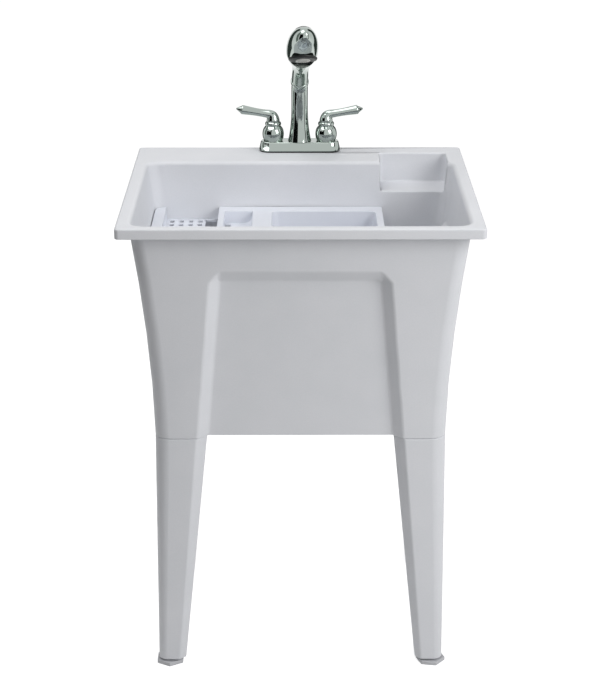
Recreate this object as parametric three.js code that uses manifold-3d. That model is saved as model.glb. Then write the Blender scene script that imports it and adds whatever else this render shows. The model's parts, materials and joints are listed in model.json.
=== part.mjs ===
// A free-standing utility laundry sink: a moulded tub on four tapered legs, with a storage tray hung
// inside the basin, a strainer drain and a two-handle deck faucet with a pull-out spray.
// Millimetres, +Z up. The origin is on the floor under the middle of the rim, and the front is -Y.
import * as THREE from 'three';
import { mergeVertices } from 'three/addons/utils/BufferGeometryUtils.js';
import Module from 'manifold-3d';

const wasm = await Module();
wasm.setup();

// ---------- driving dimensions ----------
const fitGap = 0.3; // between pieces that touch

const rim = {
  width: 622,
  depth: 546,
  top: 857,
  height: 18.2, // of the turned-down lip
  plate: 5, // thickness of the flange and the deck
  lip: 4,
  reach: 21.5, // from the tub's wall out to the lip
  cornerRadius: 8,
  edgeRadius: 3,
};

const tub = {
  bottom: 454, // where the moulded corner posts meet the legs
  wall: 5,
  flare: 31.5, // how much wider each side is at the top than at the bottom
  flarePower: 1.7,
  cornerRadius: 27,
  levels: 4,
};

const basin = {
  floor: 523, // at the foot of the walls
  fall: 7, // from there down to the drain
  floorRadius: 20,
  mouthRadius: 8,
  backInset: 110, // from the back wall at the mouth to the rim's rear edge
  backDraft: 9, // how far it leans forward by the floor
};

const recess = {
  depth: 17,
  bevel: 18,
  halfBottom: 164, // half width of the front panel at its lower edge
  halfTop: 138,
  faceTop: 772, // where the slope leaves the wall
  panelTop: 751, // where it reaches the panel
  sideDrop: 15, // the side panels end this much lower
  sideInset: 38, // the side panels are this much narrower, each side
  backHalfBottom: 174, // half width of the open back at its lower edge
  backHalfTop: 152,
};

// The soap shelf sunk in the right end of the rear deck.
const niche = {
  width: 159, // from its left wall to the rim's right edge
  rearInset: 44, // from its rear wall to the rim's rear edge
  depth: 57,
  cornerRadius: 9,
};

const deck = {
  holeSpacing: 50.8,
  holeRadius: 15,
  faucetInset: 24.5, // from the faucet's middle line to the rim's rear edge
};

const leg = {
  bottom: 10.5,
  topWidth: 92,
  bottomWidth: 50,
  splay: 4, // how far the foot stands outside the top of the leg
  rearTopWidth: 82, // the rear legs are narrower across the back
  rearSplay: 10, // and stand wider apart
  wall: 4,
  topBevel: 18,
  bottomBevel: 11,
  topRadius: 27,
  bottomRadius: 16,
  innerBevel: 8,
  spigot: 44, // how far the leg reaches up inside the corner post
  spigotClearance: 0.4,
  spigotWall: 3.2,
  solidBottom: 30,
};

const foot = {
  radius: 27.4,
  pad: 7.5,
  outset: 4.5, // the pad's middle from the leg's middle, towards the corner
  studRadius: 4.8,
  studReach: 34,
  turns: { front_left: 0, front_right: 20, rear_left: -14, rear_right: 31 },
};

const tray = {
  drop: 87, // its top below the rim's top
  depth: 150.9,
  wallGap: 1.5, // to the tub's left wall
  nicheLap: 3.7, // how far its right end reaches past the soap shelf's left wall
  flange: 5,
  cornerRadius: 22,
  edgeRadius: 6,
  sideFlange: 19.9,
  rearFlange: 32,
  rightFlange: 13.2,
  wall: 3,
  rackWidth: 100.5,
  rackDrop: 24, // the rack's top below the flange's top
  rackPlate: 4,
  pocketGap: 11.3, // between the rack and the pocket
  pocketWidth: 53,
  pocketCurve: 20,
  binGap: 36, // between the pocket and the bin
  binDepth: 90,
  binDraft: 8,
  binRadius: 12,
};

const rackSlots = {
  sideMargin: 11.5, // from the rack's left edge to the middle of the first column
  rearMargin: 9.8, // from the tray's rear edge to the last row
  pitchX: 17.9,
  columns: 4,
  width: 8.4,
  pitchY: 22,
  slotLength: 14,
  rows: 6,
  wideWidth: 22,
  wideMargin: 3,
  narrowWidth: 11,
};

const trayRest = { height: 12, width: 18, reach: 15, fromFront: [30, 110], fromLeft: [243, 373] };

const drain = {
  y: -42,
  bossRadius: 62,
  holeRadius: 45,
  flangeRadius: 57,
  flangeThickness: 2,
  bodyRadius: 43.5,
  bodyWall: 2.5,
  bodyDepth: 44,
  seatDepth: 5, // the strainer's seat below the flange
  outletRadius: 19,
  outletWall: 2,
  outletLength: 30,
  nutRadius: 57,
  nutHeight: 12,
  gasketThickness: 3,
  washerThickness: 1.5,
  tailRadius: 19,
  tailWall: 1.6,
  tailLength: 48,
  slipNutRadius: 27,
  slipNutHeight: 16,
};

const faucet = {
  baseHalfWidth: 78,
  baseHalfDepth: 22,
  baseTaper: 3.5,
  baseHeight: 18,
  baseRadius: 20,
  baseRounding: 2.5,
  gasket: 1.4,
  shankRadius: 10.3,
  shankReach: 45, // the shanks' ends below the rim's top
  nutRadius: 17,
  nutHeight: 12,
  nutWing: 5,
  stemRadius: 4,
  stemSeat: 7, // where the stem stands in the valve
  stemReach: 4, // how far it stands up into the lever
  guideRadius: 13,
  guideBore: 9.5,
  guideReach: 37,
};

// Outlines of the turned pieces: [radius, height above their seat].
const valveOutline = [[15, 0], [15, 6], [11.5, 8], [11.5, 25], [9, 27]];
const hubOutside = [[17.8, 0], [20.4, 7], [21, 14], [18.8, 24], [14.2, 29], [15.4, 32], [15.4, 35]];
const hubInside = [[12.2, 25], [16, 19], [16, 0]];
const hub = { height: 37.2, topRadius: 13.6, topPlate: 3 };

// A lever: its skirt's outline, and its arm as [distance out, height, radius].
const skirtOutline = [[12.7, 0], [12.7, 4], [11.4, 11], [7.6, 17], [0, 20.6]];
const armSections = [
  [-2, 11, 7.6],
  [16, 14.4, 7.8],
  [28, 16.6, 7.5],
  [46, 19.6, 8.4],
  [57, 21.2, 9.2],
  [63, 22, 7.8],
  [66, 22.4, 3.4],
  [71, 23, 1],
];

const column = {
  footRadius: 22.6,
  radius: 16,
  taperHeight: 68,
  taperPower: 2.4,
  taperSteps: 4,
  riser: 94.7, // from its foot to the start of the bend
  spigotRadius: 14,
  hoseRadius: 10,
  swing: 3.2, // degrees that the spout stands turned to the right
};

// The top of the column, where the spray head docks.
const dock = {
  bend: 37, // degrees that the column leans forward
  bendRadius: 40,
  collarLength: 9,
  collarRadius: 17.4,
  collarChamfer: 2,
  socketRadius: 12.5,
  socketDepth: 24,
};

const wand = {
  length: 190,
  endRise: 24, // degrees above level at its nose
  radius: 30.2,
  neckLength: 20,
  fullAt: 100,
  swellPower: 3.2,
  noseStep: 1.2, // the last ring stands this far short of the tip
  spigotClearance: 0.3,
  spigotLength: 22,
  steps: 16,
};

// The round spray face under the wand. Heights are from the wand's middle line.
const face = {
  at: 118.75, // along the wand
  seat: 20,
  seatRadius: 28.8,
  radius: 26,
  depth: 7.7,
  edge: 1.5,
  plateRadius: 21,
  plateSink: 1,
};

// The button on top of the wand, which follows its curve.
const button = { at: 154.4, halfWidth: 14.5, halfLength: 11, seat: 16, travel: 2, proud: 0.8 };

const ringSides = 24;
const hubSides = 20;
const smallSides = 16; // of stems, studs, shanks and the hose's bore

// ---------- derived places ----------
const rimUnder = rim.top - rim.height;
const deckUnder = rim.top - rim.plate;
const drainTop = basin.floor - basin.fall;
const flangeSeat = drainTop + fitGap;
const flangeTop = flangeSeat + drain.flangeThickness;
const drainUnder = drainTop - tub.wall - 2;
const baseBottom = rim.top + 2 * fitGap + faucet.gasket;
const baseTop = baseBottom + faucet.baseHeight;
const columnSeat = baseTop + fitGap;
const hubTop = baseTop + hub.height;
const faucetY = rim.depth / 2 - deck.faucetInset;
const shankBottom = rim.top - faucet.shankReach;
const nicheLeft = rim.width / 2 - niche.width;
const nicheRear = rim.depth / 2 - niche.rearInset;
const nicheFloor = rim.top - niche.depth;
const trayTop = rim.top - tray.drop;

// ---------- tools of the model ----------
const radians = THREE.MathUtils.degToRad;

// A solid from a closed geometry, with its faces turned outwards.
function solid(geometry) {
  const bare = geometry.clone();
  bare.deleteAttribute('normal');
  bare.deleteAttribute('uv');
  const merged = mergeVertices(bare, 1e-4);
  const kept = [];
  const index = merged.index.array;
  for (let i = 0; i < index.length; i += 3) {
    const [a, b, c] = index.subarray(i, i + 3);
    if (a !== b && b !== c && c !== a) kept.push([a, b, c]);
  }
  const points = merged.attributes.position.array;
  const build = (faces) =>
    new wasm.Manifold(
      new wasm.Mesh({ numProp: 3, vertProperties: points, triVerts: new Uint32Array(faces.flat()) }),
    );
  const made = build(kept);
  return made.volume() < 0 ? build(kept.map(([a, b, c]) => [a, c, b])) : made;
}

function join(...solids) {
  return solids.reduce((whole, next) => whole.add(next));
}

function cut(from, ...tools) {
  return tools.reduce((rest, tool) => rest.subtract(tool), from);
}

function geometryOf(made) {
  const { numProp, vertProperties, triVerts } = made.getMesh();
  const positions = new Float32Array((vertProperties.length / numProp) * 3);
  for (let i = 0; i * numProp < vertProperties.length; i += 1) {
    positions.set(vertProperties.subarray(i * numProp, i * numProp + 3), i * 3);
  }
  const geometry = new THREE.BufferGeometry();
  geometry.setAttribute('position', new THREE.BufferAttribute(positions, 3));
  geometry.setIndex(new THREE.BufferAttribute(new Uint32Array(triVerts), 1));
  return geometry;
}

// The flat face over a ring of points, as triangles that turn the way the ring does.
function capOf(ring) {
  const normal = new THREE.Vector3();
  const middle = new THREE.Vector3();
  ring.forEach((p) => middle.addScaledVector(p, 1 / ring.length));
  ring.forEach((p, i) => {
    const a = p.clone().sub(middle);
    const b = ring[(i + 1) % ring.length].clone().sub(middle);
    normal.add(a.cross(b));
  });
  normal.normalize();
  const across = ring[1].clone().sub(ring[0]).normalize();
  const along = normal.clone().cross(across);
  const flat = ring.map((p) => new THREE.Vector2(p.dot(across), p.dot(along)));
  return THREE.ShapeUtils.triangulateShape(flat, []).map(([a, b, c]) => {
    const turn = flat[b].clone().sub(flat[a]).cross(flat[c].clone().sub(flat[a]));
    return turn > 0 ? [a, b, c] : [a, c, b];
  });
}

// A closed solid through rings of points. Each ring has as many points as the others.
function loft(rings, startTip = null, endTip = null) {
  const count = rings[0].length;
  const points = rings.flat();
  const faces = [];
  for (let i = 0; i + 1 < rings.length; i += 1) {
    for (let j = 0; j < count; j += 1) {
      const a = i * count + j;
      const b = i * count + ((j + 1) % count);
      faces.push([a, b, b + count], [a, b + count, a + count]);
    }
  }
  const last = (rings.length - 1) * count;
  if (startTip) {
    points.push(startTip);
    for (let j = 0; j < count; j += 1) faces.push([points.length - 1, (j + 1) % count, j]);
  } else {
    capOf(rings[0]).forEach(([a, b, c]) => faces.push([a, c, b]));
  }
  if (endTip) {
    points.push(endTip);
    for (let j = 0; j < count; j += 1) {
      faces.push([points.length - 1, last + j, last + ((j + 1) % count)]);
    }
  } else {
    capOf(rings.at(-1)).forEach(([a, b, c]) => faces.push([a + last, b + last, c + last]));
  }
  const geometry = new THREE.BufferGeometry();
  const positions = points.flatMap((p) => [p.x, p.y, p.z]);
  geometry.setAttribute('position', new THREE.Float32BufferAttribute(positions, 3));
  geometry.setIndex(faces.flat());
  return solid(geometry);
}

// A level ring round a rectangle with round corners.
function roundedRing(x0, x1, y0, y1, radius, z, steps = 4) {
  const corners = [
    [x1 - radius, y1 - radius],
    [x0 + radius, y1 - radius],
    [x0 + radius, y0 + radius],
    [x1 - radius, y0 + radius],
  ];
  return corners.flatMap(([x, y], corner) =>
    Array.from({ length: steps + 1 }, (_, i) => {
      const angle = (Math.PI / 2) * (corner + i / steps);
      return new THREE.Vector3(x + radius * Math.cos(angle), y + radius * Math.sin(angle), z);
    }),
  );
}

function ringAt(points, z) {
  return points.map(([x, y]) => new THREE.Vector3(x, y, z));
}

function block(x0, x1, y0, y1, z0, z1) {
  const geometry = new THREE.BoxGeometry(x1 - x0, y1 - y0, z1 - z0);
  geometry.translate((x0 + x1) / 2, (y0 + y1) / 2, (z0 + z1) / 2);
  return solid(geometry);
}

function roundedBlock(x0, x1, y0, y1, z0, z1, radius) {
  return loft([z0, z1].map((z) => roundedRing(x0, x1, y0, y1, radius, z)));
}

// An upright cylinder from z0 to z1.
function rod(radius, z0, z1, x = 0, y = 0, sides = ringSides) {
  const geometry = new THREE.CylinderGeometry(radius, radius, z1 - z0, sides);
  geometry.rotateX(Math.PI / 2);
  geometry.translate(x, y, (z0 + z1) / 2);
  return solid(geometry);
}

// An upright revolve of [radius, z] points. A hollow one's outline closes on itself.
function turned(outline, x = 0, y = 0, sides = ringSides) {
  const points = outline.map(([radius, z]) => new THREE.Vector2(radius, z));
  const geometry = new THREE.LatheGeometry(points, sides);
  geometry.rotateX(Math.PI / 2);
  geometry.translate(x, y, 0);
  return solid(geometry);
}

function ringOutline(inner, outer, z0, z1) {
  return [[inner, z0], [outer, z0], [outer, z1], [inner, z1], [inner, z0]];
}

function spread(from, to, count) {
  return Array.from({ length: count + 1 }, (_, i) => from + ((to - from) * i) / count);
}

// A round section square to a direction in the plane of X = x. height is its share of the width.
function sectionAt(x, y, z, riseDegrees, radius, sides, height = 1) {
  const rise = radians(riseDegrees);
  const side = new THREE.Vector3(1, 0, 0);
  const up = new THREE.Vector3(0, Math.sin(rise), Math.cos(rise));
  return Array.from({ length: sides }, (_, i) => {
    const angle = (2 * Math.PI * i) / sides;
    return new THREE.Vector3(x, y, z)
      .addScaledVector(side, radius * Math.cos(angle))
      .addScaledVector(up, height * radius * Math.sin(angle));
  });
}

// ---------- tub ----------
function flareAt(z) {
  const share = THREE.MathUtils.clamp((z - tub.bottom) / (rimUnder - tub.bottom), 0, 1.05);
  return tub.flare * share ** tub.flarePower;
}

function halfWidthAt(z) {
  return rim.width / 2 - rim.reach - tub.flare + flareAt(z);
}

function halfDepthAt(z) {
  return rim.depth / 2 - rim.reach - tub.flare + flareAt(z);
}

// The inside face of the basin's back wall.
function backWallAt(z) {
  const share = (rim.top - basin.mouthRadius - z) / (rim.top - basin.floor);
  return rim.depth / 2 - basin.backInset - basin.backDraft * share;
}

function outerRing(z, inset) {
  const x = halfWidthAt(z) - inset;
  const y = halfDepthAt(z) - inset;
  return roundedRing(-x, x, -y, y, tub.cornerRadius - inset, z);
}

// The room in front of the back wall, between the inside faces of the other walls.
function innerRing(z, inset = 0) {
  const x = halfWidthAt(z) - tub.wall - inset;
  const y = halfDepthAt(z) - tub.wall - inset;
  const radius = Math.max(tub.cornerRadius - tub.wall - inset, 2);
  return roundedRing(-x, x, -y, backWallAt(z) - inset, radius, z);
}

// The room behind the back wall, which the rear corner posts stand round.
function rearRing(z) {
  const x = halfWidthAt(z) - tub.wall;
  const y = halfDepthAt(z) - tub.wall;
  return roundedRing(-x, x, backWallAt(z) + tub.wall, y, 2, z);
}

function halfPanelAt(z, halfBottom, halfTop) {
  const share = (z - tub.bottom) / (recess.panelTop - tub.bottom);
  return THREE.MathUtils.lerp(halfBottom, halfTop, Math.min(share, 1));
}

// The space of a sunk panel between two corner posts. grow = 0 gives the space itself, and
// grow = the wall gives that space with the wall round it. place turns [along, out] into [x, y].
function panelSpace(halfAt, faceAt, place, drop, grow) {
  const outside = 3;
  const hypotenuse = Math.hypot(recess.bevel, recess.depth);
  const slopeRise = recess.faceTop - recess.panelTop;
  const slopeLength = Math.hypot(slopeRise, recess.depth);
  const growAlong = (grow * (hypotenuse - recess.bevel)) / recess.depth;
  const growUp = (grow * (slopeLength - slopeRise)) / recess.depth;
  const ring = (z, depth) => {
    const inner = halfAt(z) + growAlong;
    const outer = inner + (recess.bevel * (depth + outside)) / recess.depth;
    const outline = [
      [-outer, faceAt(z) + outside],
      [outer, faceAt(z) + outside],
      [inner, faceAt(z) - depth],
      [-inner, faceAt(z) - depth],
    ];
    return ringAt(outline.map(place), z);
  };
  const below = tub.bottom - 2 * tub.wall;
  const panelTop = recess.panelTop - drop + growUp;
  const depth = recess.depth + grow;
  const leave = -1; // the slope ends this far outside the wall
  const slopeTop = panelTop + ((depth - leave) * slopeRise) / recess.depth;
  const rings = spread(below, panelTop, tub.levels).map((z) => ring(z, depth));
  return loft([...rings, ring(slopeTop, leave)]);
}

function frontSpace(grow) {
  const halfAt = (z) => halfPanelAt(z, recess.halfBottom, recess.halfTop);
  return panelSpace(halfAt, halfDepthAt, ([along, out]) => [along, -out], 0, grow);
}

function sideSpace(side, grow) {
  const halfAt = (z) => halfPanelAt(z, recess.halfBottom, recess.halfTop) - recess.sideInset;
  return panelSpace(halfAt, halfWidthAt, ([along, out]) => [side * out, along], recess.sideDrop, grow);
}

// Behind the basin the tub is open between the rear corner posts, from below up to the deck.
function backSpace(grow) {
  const ring = (z) => {
    const inner = halfPanelAt(z, recess.backHalfBottom, recess.backHalfTop) + grow;
    const bevelStart = halfDepthAt(z) - recess.depth;
    const outside = halfDepthAt(z) + 3;
    const outer = inner + (recess.bevel * (outside - bevelStart)) / recess.depth;
    const near = backWallAt(z) + tub.wall - grow;
    const right = [[inner, near], [inner, bevelStart], [outer, outside]];
    const left = right.map(([x, y]) => [-x, y]).reverse();
    return ringAt([...right, ...left], z);
  };
  const below = tub.bottom - 2 * tub.wall;
  return loft([...spread(below, recess.panelTop, tub.levels), deckUnder].map(ring));
}

function rimPlate() {
  const x = rim.width / 2;
  const y = rim.depth / 2;
  const ring = (inset, z) =>
    roundedRing(inset - x, x - inset, inset - y, y - inset, rim.cornerRadius - inset, z, 4);
  const rounding = spread(0, Math.PI / 2, 3).map((angle) =>
    ring(rim.edgeRadius * (1 - Math.cos(angle)), rim.top - rim.edgeRadius * (1 - Math.sin(angle))),
  );
  const plate = loft([ring(0, rimUnder), ...rounding]);
  const under = loft([ring(rim.lip, rimUnder - 1), ring(rim.lip, deckUnder)]);
  return cut(plate, under);
}

function basinSpace() {
  const floorRings = spread(0, Math.PI / 2, 3).map((angle) =>
    innerRing(
      basin.floor + basin.floorRadius * (1 - Math.cos(angle)),
      basin.floorRadius * (1 - Math.sin(angle)),
    ),
  );
  const mouth = rim.top - basin.mouthRadius;
  const wallRings = spread(basin.floor + basin.floorRadius, mouth, tub.levels)
    .slice(1)
    .map((z) => innerRing(z));
  const mouthRings = spread(0, Math.PI / 2, 3)
    .slice(1)
    .map((angle) => {
      const ring = innerRing(mouth, -basin.mouthRadius * (1 - Math.cos(angle)));
      const z = mouth + basin.mouthRadius * Math.sin(angle);
      return ring.map((p) => new THREE.Vector3(p.x, p.y, z));
    });
  const above = mouthRings.at(-1).map((p) => new THREE.Vector3(p.x, p.y, rim.top + 1));
  const drainPoint = new THREE.Vector3(0, drain.y, drainTop);
  const room = loft([...floorRings, ...wallRings, ...mouthRings, above], drainPoint);
  const grow = tub.wall;
  return cut(room, frontSpace(grow), sideSpace(1, grow), sideSpace(-1, grow));
}

// The room under the basin's floor, open below, where the trap hangs.
function underSpace() {
  const below = tub.bottom - tub.wall;
  const rings = spread(below, basin.floor - tub.wall, 2).map((z) => outerRing(z, tub.wall));
  const underDrain = new THREE.Vector3(0, drain.y, drainTop - tub.wall);
  const grow = tub.wall;
  const room = loft(rings, null, underDrain);
  return cut(room, frontSpace(grow), sideSpace(1, grow), sideSpace(-1, grow), backSpace(grow));
}

function nicheSpace(grow) {
  const right = halfWidthAt(nicheFloor) - tub.wall + 2 * grow;
  const x0 = nicheLeft - grow;
  const y0 = backWallAt(nicheFloor) - tub.wall;
  const z0 = nicheFloor - grow;
  return roundedBlock(x0, right, y0, nicheRear + grow, z0, rim.top + 1, niche.cornerRadius);
}

// The hollows of the two rear corner posts, open below.
function rearPostSpace() {
  const below = tub.bottom - tub.wall;
  const room = loft(spread(below, deckUnder, tub.levels).map(rearRing));
  const grow = tub.wall;
  return cut(room, backSpace(grow), sideSpace(1, grow), sideSpace(-1, grow), nicheSpace(grow));
}

// Small moulded ledges on the left and back walls that the tray's flange rests on.
function trayRests() {
  const top = trayTop - tray.flange - fitGap;
  const bottom = top - trayRest.height;
  const half = trayRest.width / 2;
  const leftWall = -halfWidthAt(top) + tub.wall;
  const backWall = backWallAt(top);
  const left = trayRest.fromFront.map((behind) => {
    const y = trayFront() + behind;
    return block(leftWall - 2, leftWall + trayRest.reach, y - half, y + half, bottom, top);
  });
  const back = trayRest.fromLeft.map((beside) => {
    const x = trayLeft() + beside;
    return block(x - half, x + half, backWall - trayRest.reach, backWall + 2, bottom, top);
  });
  return [...left, ...back];
}

function makeTub() {
  const heights = spread(tub.bottom + fitGap / 2, rimUnder, tub.levels);
  const body = loft([...heights, deckUnder + 1].map((z) => outerRing(z, 0)));
  const drainBoss = rod(drain.bossRadius, drainUnder, drainTop - 1, 0, drain.y);
  const shell = cut(
    join(rimPlate(), body),
    frontSpace(0),
    sideSpace(1, 0),
    sideSpace(-1, 0),
    backSpace(0),
    basinSpace(),
    underSpace(),
    rearPostSpace(),
    nicheSpace(0),
  );
  const drainTools = [
    rod(drain.bossRadius, drainTop, drainTop + basin.fall, 0, drain.y),
    rod(drain.holeRadius, drainUnder - 1, drainTop + basin.fall, 0, drain.y),
  ];
  const deckTools = [-deck.holeSpacing, 0, deck.holeSpacing].map((x) =>
    rod(deck.holeRadius, deckUnder - 1, rim.top + 1, x, faucetY),
  );
  return cut(join(shell, drainBoss, ...trayRests()), ...drainTools, ...deckTools);
}

// ---------- legs and feet ----------
// A front leg's stance and a rear one's: how wide it is at the top and how far its foot splays.
function stanceOf(sideY) {
  return sideY < 0
    ? { topWidth: leg.topWidth, splay: leg.splay }
    : { topWidth: leg.rearTopWidth, splay: leg.rearSplay };
}

// The leg's outline at a height, in the corner where both x and y are positive.
function legSection(z, inset, stance) {
  const share = (tub.bottom - z) / (tub.bottom - leg.bottom);
  const mix = (top, bottom) => THREE.MathUtils.lerp(top, bottom, share);
  const x1 = halfWidthAt(tub.bottom) + mix(0, stance.splay) - inset;
  const y1 = halfDepthAt(tub.bottom) + mix(0, leg.splay) - inset;
  const width = mix(stance.topWidth, leg.bottomWidth) - 2 * inset;
  const depth = mix(leg.topWidth, leg.bottomWidth) - 2 * inset;
  const radius = mix(leg.topRadius, leg.bottomRadius) - inset;
  const bevelLoss = (2 - Math.SQRT2) * inset;
  const bevel = mix(leg.topBevel, leg.bottomBevel) - bevelLoss;
  const innerBevel = leg.innerBevel - bevelLoss;
  const steps = 4;
  const round = spread(0, Math.PI / 2, steps).map((angle) => [
    x1 - radius + radius * Math.cos(angle),
    y1 - radius + radius * Math.sin(angle),
  ]);
  const x0 = x1 - width;
  const y0 = y1 - depth;
  return [
    ...round,
    [x0 + bevel, y1],
    [x0, y1 - bevel],
    [x0, y0 + innerBevel],
    [x0 + innerBevel, y0],
    [x1 - bevel, y0],
    [x1, y0 + bevel],
  ];
}

function footCentre(sideX, sideY) {
  const middle = (half, splay) => half + splay - leg.bottomWidth / 2 + foot.outset;
  const x = middle(halfWidthAt(tub.bottom), stanceOf(sideY).splay);
  const y = middle(halfDepthAt(tub.bottom), leg.splay);
  return [sideX * x, sideY * y];
}

function makeLeg(sideX, sideY) {
  const stance = stanceOf(sideY);
  const ring = (z, inset) => {
    const section = legSection(z, inset, stance);
    return ringAt(section.map(([x, y]) => [x * sideX, y * sideY]), z);
  };
  const top = tub.bottom - fitGap / 2;
  const tongueTop = top + leg.spigot;
  const tongue = tub.wall + leg.spigotClearance;
  const tongueRoot = top - leg.spigot / 2;
  const hollowBottom = leg.bottom + leg.solidBottom;
  const shell = loft([ring(leg.bottom, 0), ring(top, 0)]);
  const spigot = loft([ring(tongueRoot, tongue), ring(tongueTop, tongue)]);
  const hollow = loft([
    ring(hollowBottom, leg.wall),
    ring(tongueRoot - tongue, leg.wall),
    ring(tongueRoot, tongue + leg.spigotWall),
    ring(tongueTop + 1, tongue + leg.spigotWall),
  ]);
  const [x, y] = footCentre(sideX, sideY);
  const studHole = rod(foot.studRadius + fitGap, leg.bottom - 1, hollowBottom + 1, x, y, smallSides);
  return cut(join(shell, spigot), hollow, studHole);
}

function makeFoot(sideX, sideY, turn) {
  const [x, y] = footCentre(sideX, sideY);
  const pad = new THREE.CylinderGeometry(foot.radius, foot.radius, foot.pad, 6);
  pad.rotateX(Math.PI / 2);
  pad.rotateZ(radians(turn));
  pad.translate(x, y, foot.pad / 2);
  const stud = rod(foot.studRadius, foot.pad / 2, foot.pad / 2 + foot.studReach, x, y, smallSides);
  return join(solid(pad), stud);
}

// ---------- storage tray ----------
function trayLeft() {
  return tub.wall + tray.wallGap - halfWidthAt(trayTop - tray.flange);
}

function trayFront() {
  return backWallAt(trayTop) - tray.depth;
}

const rackLeft = trayLeft() + tray.sideFlange;
const rackRight = rackLeft + tray.rackWidth;
const rackTop = trayTop - tray.rackDrop;
const rackUnder = rackTop - tray.rackPlate;
const pocketLeft = rackRight + tray.pocketGap;
const pocketRight = pocketLeft + tray.pocketWidth;
const pocketFront = trayFront() + 5 * tray.wall;
const pocketRear = backWallAt(trayTop) - tray.rearFlange;
const binLeft = pocketRight + tray.binGap;
const trayRight = nicheLeft + tray.nicheLap;
const trayRear = backWallAt(rackUnder) - fitGap;
const binRight = trayRight - tray.rightFlange;

function pocketSpace() {
  const profile = new THREE.Shape();
  profile.moveTo(pocketLeft, rackTop);
  profile.lineTo(pocketRight - tray.pocketCurve, rackTop);
  profile.quadraticCurveTo(pocketRight, rackTop, pocketRight, rackTop + tray.pocketCurve);
  profile.lineTo(pocketRight, trayTop + 1);
  profile.lineTo(pocketLeft, trayTop + 1);
  const geometry = new THREE.ExtrudeGeometry(profile, {
    depth: pocketRear - pocketFront,
    bevelEnabled: false,
    curveSegments: 5,
  });
  geometry.rotateX(Math.PI / 2);
  geometry.translate(0, pocketRear, 0);
  return solid(geometry);
}

function binLoft(grow, z0, z1) {
  const ring = (inset, z) =>
    roundedRing(
      binLeft + inset,
      binRight - inset,
      pocketFront + inset,
      pocketRear - inset,
      tray.binRadius,
      z,
      3,
    );
  return loft([ring(tray.binDraft - grow, z0), ring(-grow, z1)]);
}

function rackCuts() {
  const { rows, columns, pitchX, pitchY, width, slotLength } = rackSlots;
  const slot = (x0, x1, y0, y1) => block(x0, x1, y0, y1, rackUnder - 2 * tray.rackPlate, rackTop + 1);
  const cuts = [];
  const rear = trayRear - rackSlots.rearMargin;
  for (let row = 0; row < rows; row += 1) {
    const y1 = rear - row * pitchY;
    for (let column = 0; column < columns; column += 1) {
      const x0 = rackLeft + rackSlots.sideMargin + column * pitchX - width / 2;
      cuts.push(slot(x0, x0 + width, y1 - slotLength, y1));
    }
  }
  const front = rear - (rows - 1) * pitchY - slotLength;
  const middle = (front + rear) / 2;
  const bridge = slotLength / 4;
  const wideRight = rackRight - rackSlots.wideMargin;
  const wideLeft = wideRight - rackSlots.wideWidth;
  const margin = 2 * tray.wall;
  cuts.push(slot(wideLeft, wideRight, middle + bridge, rear));
  cuts.push(slot(wideLeft, wideRight, front, middle - bridge));
  cuts.push(slot(pocketLeft, pocketLeft + rackSlots.narrowWidth, pocketFront + margin, pocketRear - margin));
  return cuts;
}

function makeTray() {
  const { wall } = tray;
  const flangeUnder = trayTop - tray.flange;
  const floor = trayTop - tray.binDepth;
  const front = trayFront();
  const rear = trayRear;
  const flange = join(
    roundedBlock(trayLeft(), 0, front, rear, flangeUnder, trayTop, tray.cornerRadius),
    roundedBlock(-2 * tray.cornerRadius, trayRight, front, rear, flangeUnder, trayTop, tray.edgeRadius),
  );
  const box = (x0, x1, y1) =>
    roundedBlock(x0, x1, front + wall, y1, rackUnder, trayTop - 1, tray.edgeRadius);
  const rackBox = box(rackLeft - wall, rackRight + wall, rear);
  const pocketBox = box(rackRight - wall, pocketRight + wall, pocketRear + wall);
  const bin = binLoft(wall, floor - wall, trayTop - 1);
  const binRoom = binLoft(0, floor, trayTop + 1);
  const rackRoom = block(rackLeft, rackRight, front + 3 * wall, rear + 1, rackTop, trayTop + 1);
  const whole = join(flange, rackBox, pocketBox, bin);
  return cut(whole, rackRoom, pocketSpace(), binRoom, ...rackCuts());
}

// ---------- drain ----------
function makeDrainBody() {
  const { flangeRadius, bodyRadius, bodyWall, bodyDepth, outletRadius, outletWall, outletLength } = drain;
  const seat = flangeTop - drain.seatDepth;
  const cupFloor = flangeTop - bodyDepth;
  const outletEnd = cupFloor - outletLength;
  const inside = bodyRadius - bodyWall;
  return turned(
    [
      [flangeRadius, flangeTop],
      [inside, flangeTop - 0.5],
      [inside, seat],
      [inside - bodyWall, seat],
      [inside - 2 * bodyWall, cupFloor + 8],
      [outletRadius - outletWall, cupFloor],
      [outletRadius - outletWall, outletEnd],
      [outletRadius, outletEnd],
      [outletRadius, cupFloor - bodyWall],
      [bodyRadius - bodyWall, cupFloor + 6],
      [bodyRadius, flangeSeat],
      [flangeRadius, flangeSeat],
      [flangeRadius, flangeTop],
    ],
    0,
    drain.y,
  );
}

function makeBasket() {
  const seat = flangeTop - drain.seatDepth + fitGap;
  const lip = drain.bodyRadius - drain.bodyWall - 2 * fitGap;
  const cup = lip - 6;
  const depth = 26;
  const knob = 8;
  const body = turned(
    [
      [0, seat - depth],
      [cup - 2, seat - depth],
      [cup, seat - 4],
      [lip - 3, seat],
      [lip, seat],
      [lip, seat + 1.5],
      [cup, seat],
      [cup - 4, seat - depth + 3],
      [3, seat - depth + 3],
      [3, seat + 4],
      [knob, seat + 7],
      [knob - 1, seat + 12],
      [0, seat + 13],
    ],
    0,
    drain.y,
  );
  const holes = 8;
  const circle = 18;
  const cuts = Array.from({ length: holes }, (_, i) => {
    const angle = (2 * Math.PI * i) / holes;
    const x = circle * Math.cos(angle);
    const y = drain.y + circle * Math.sin(angle);
    return rod(3.2, seat - depth - 1, seat - depth + 4, x, y, 8);
  });
  return cut(body, ...cuts);
}

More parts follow.
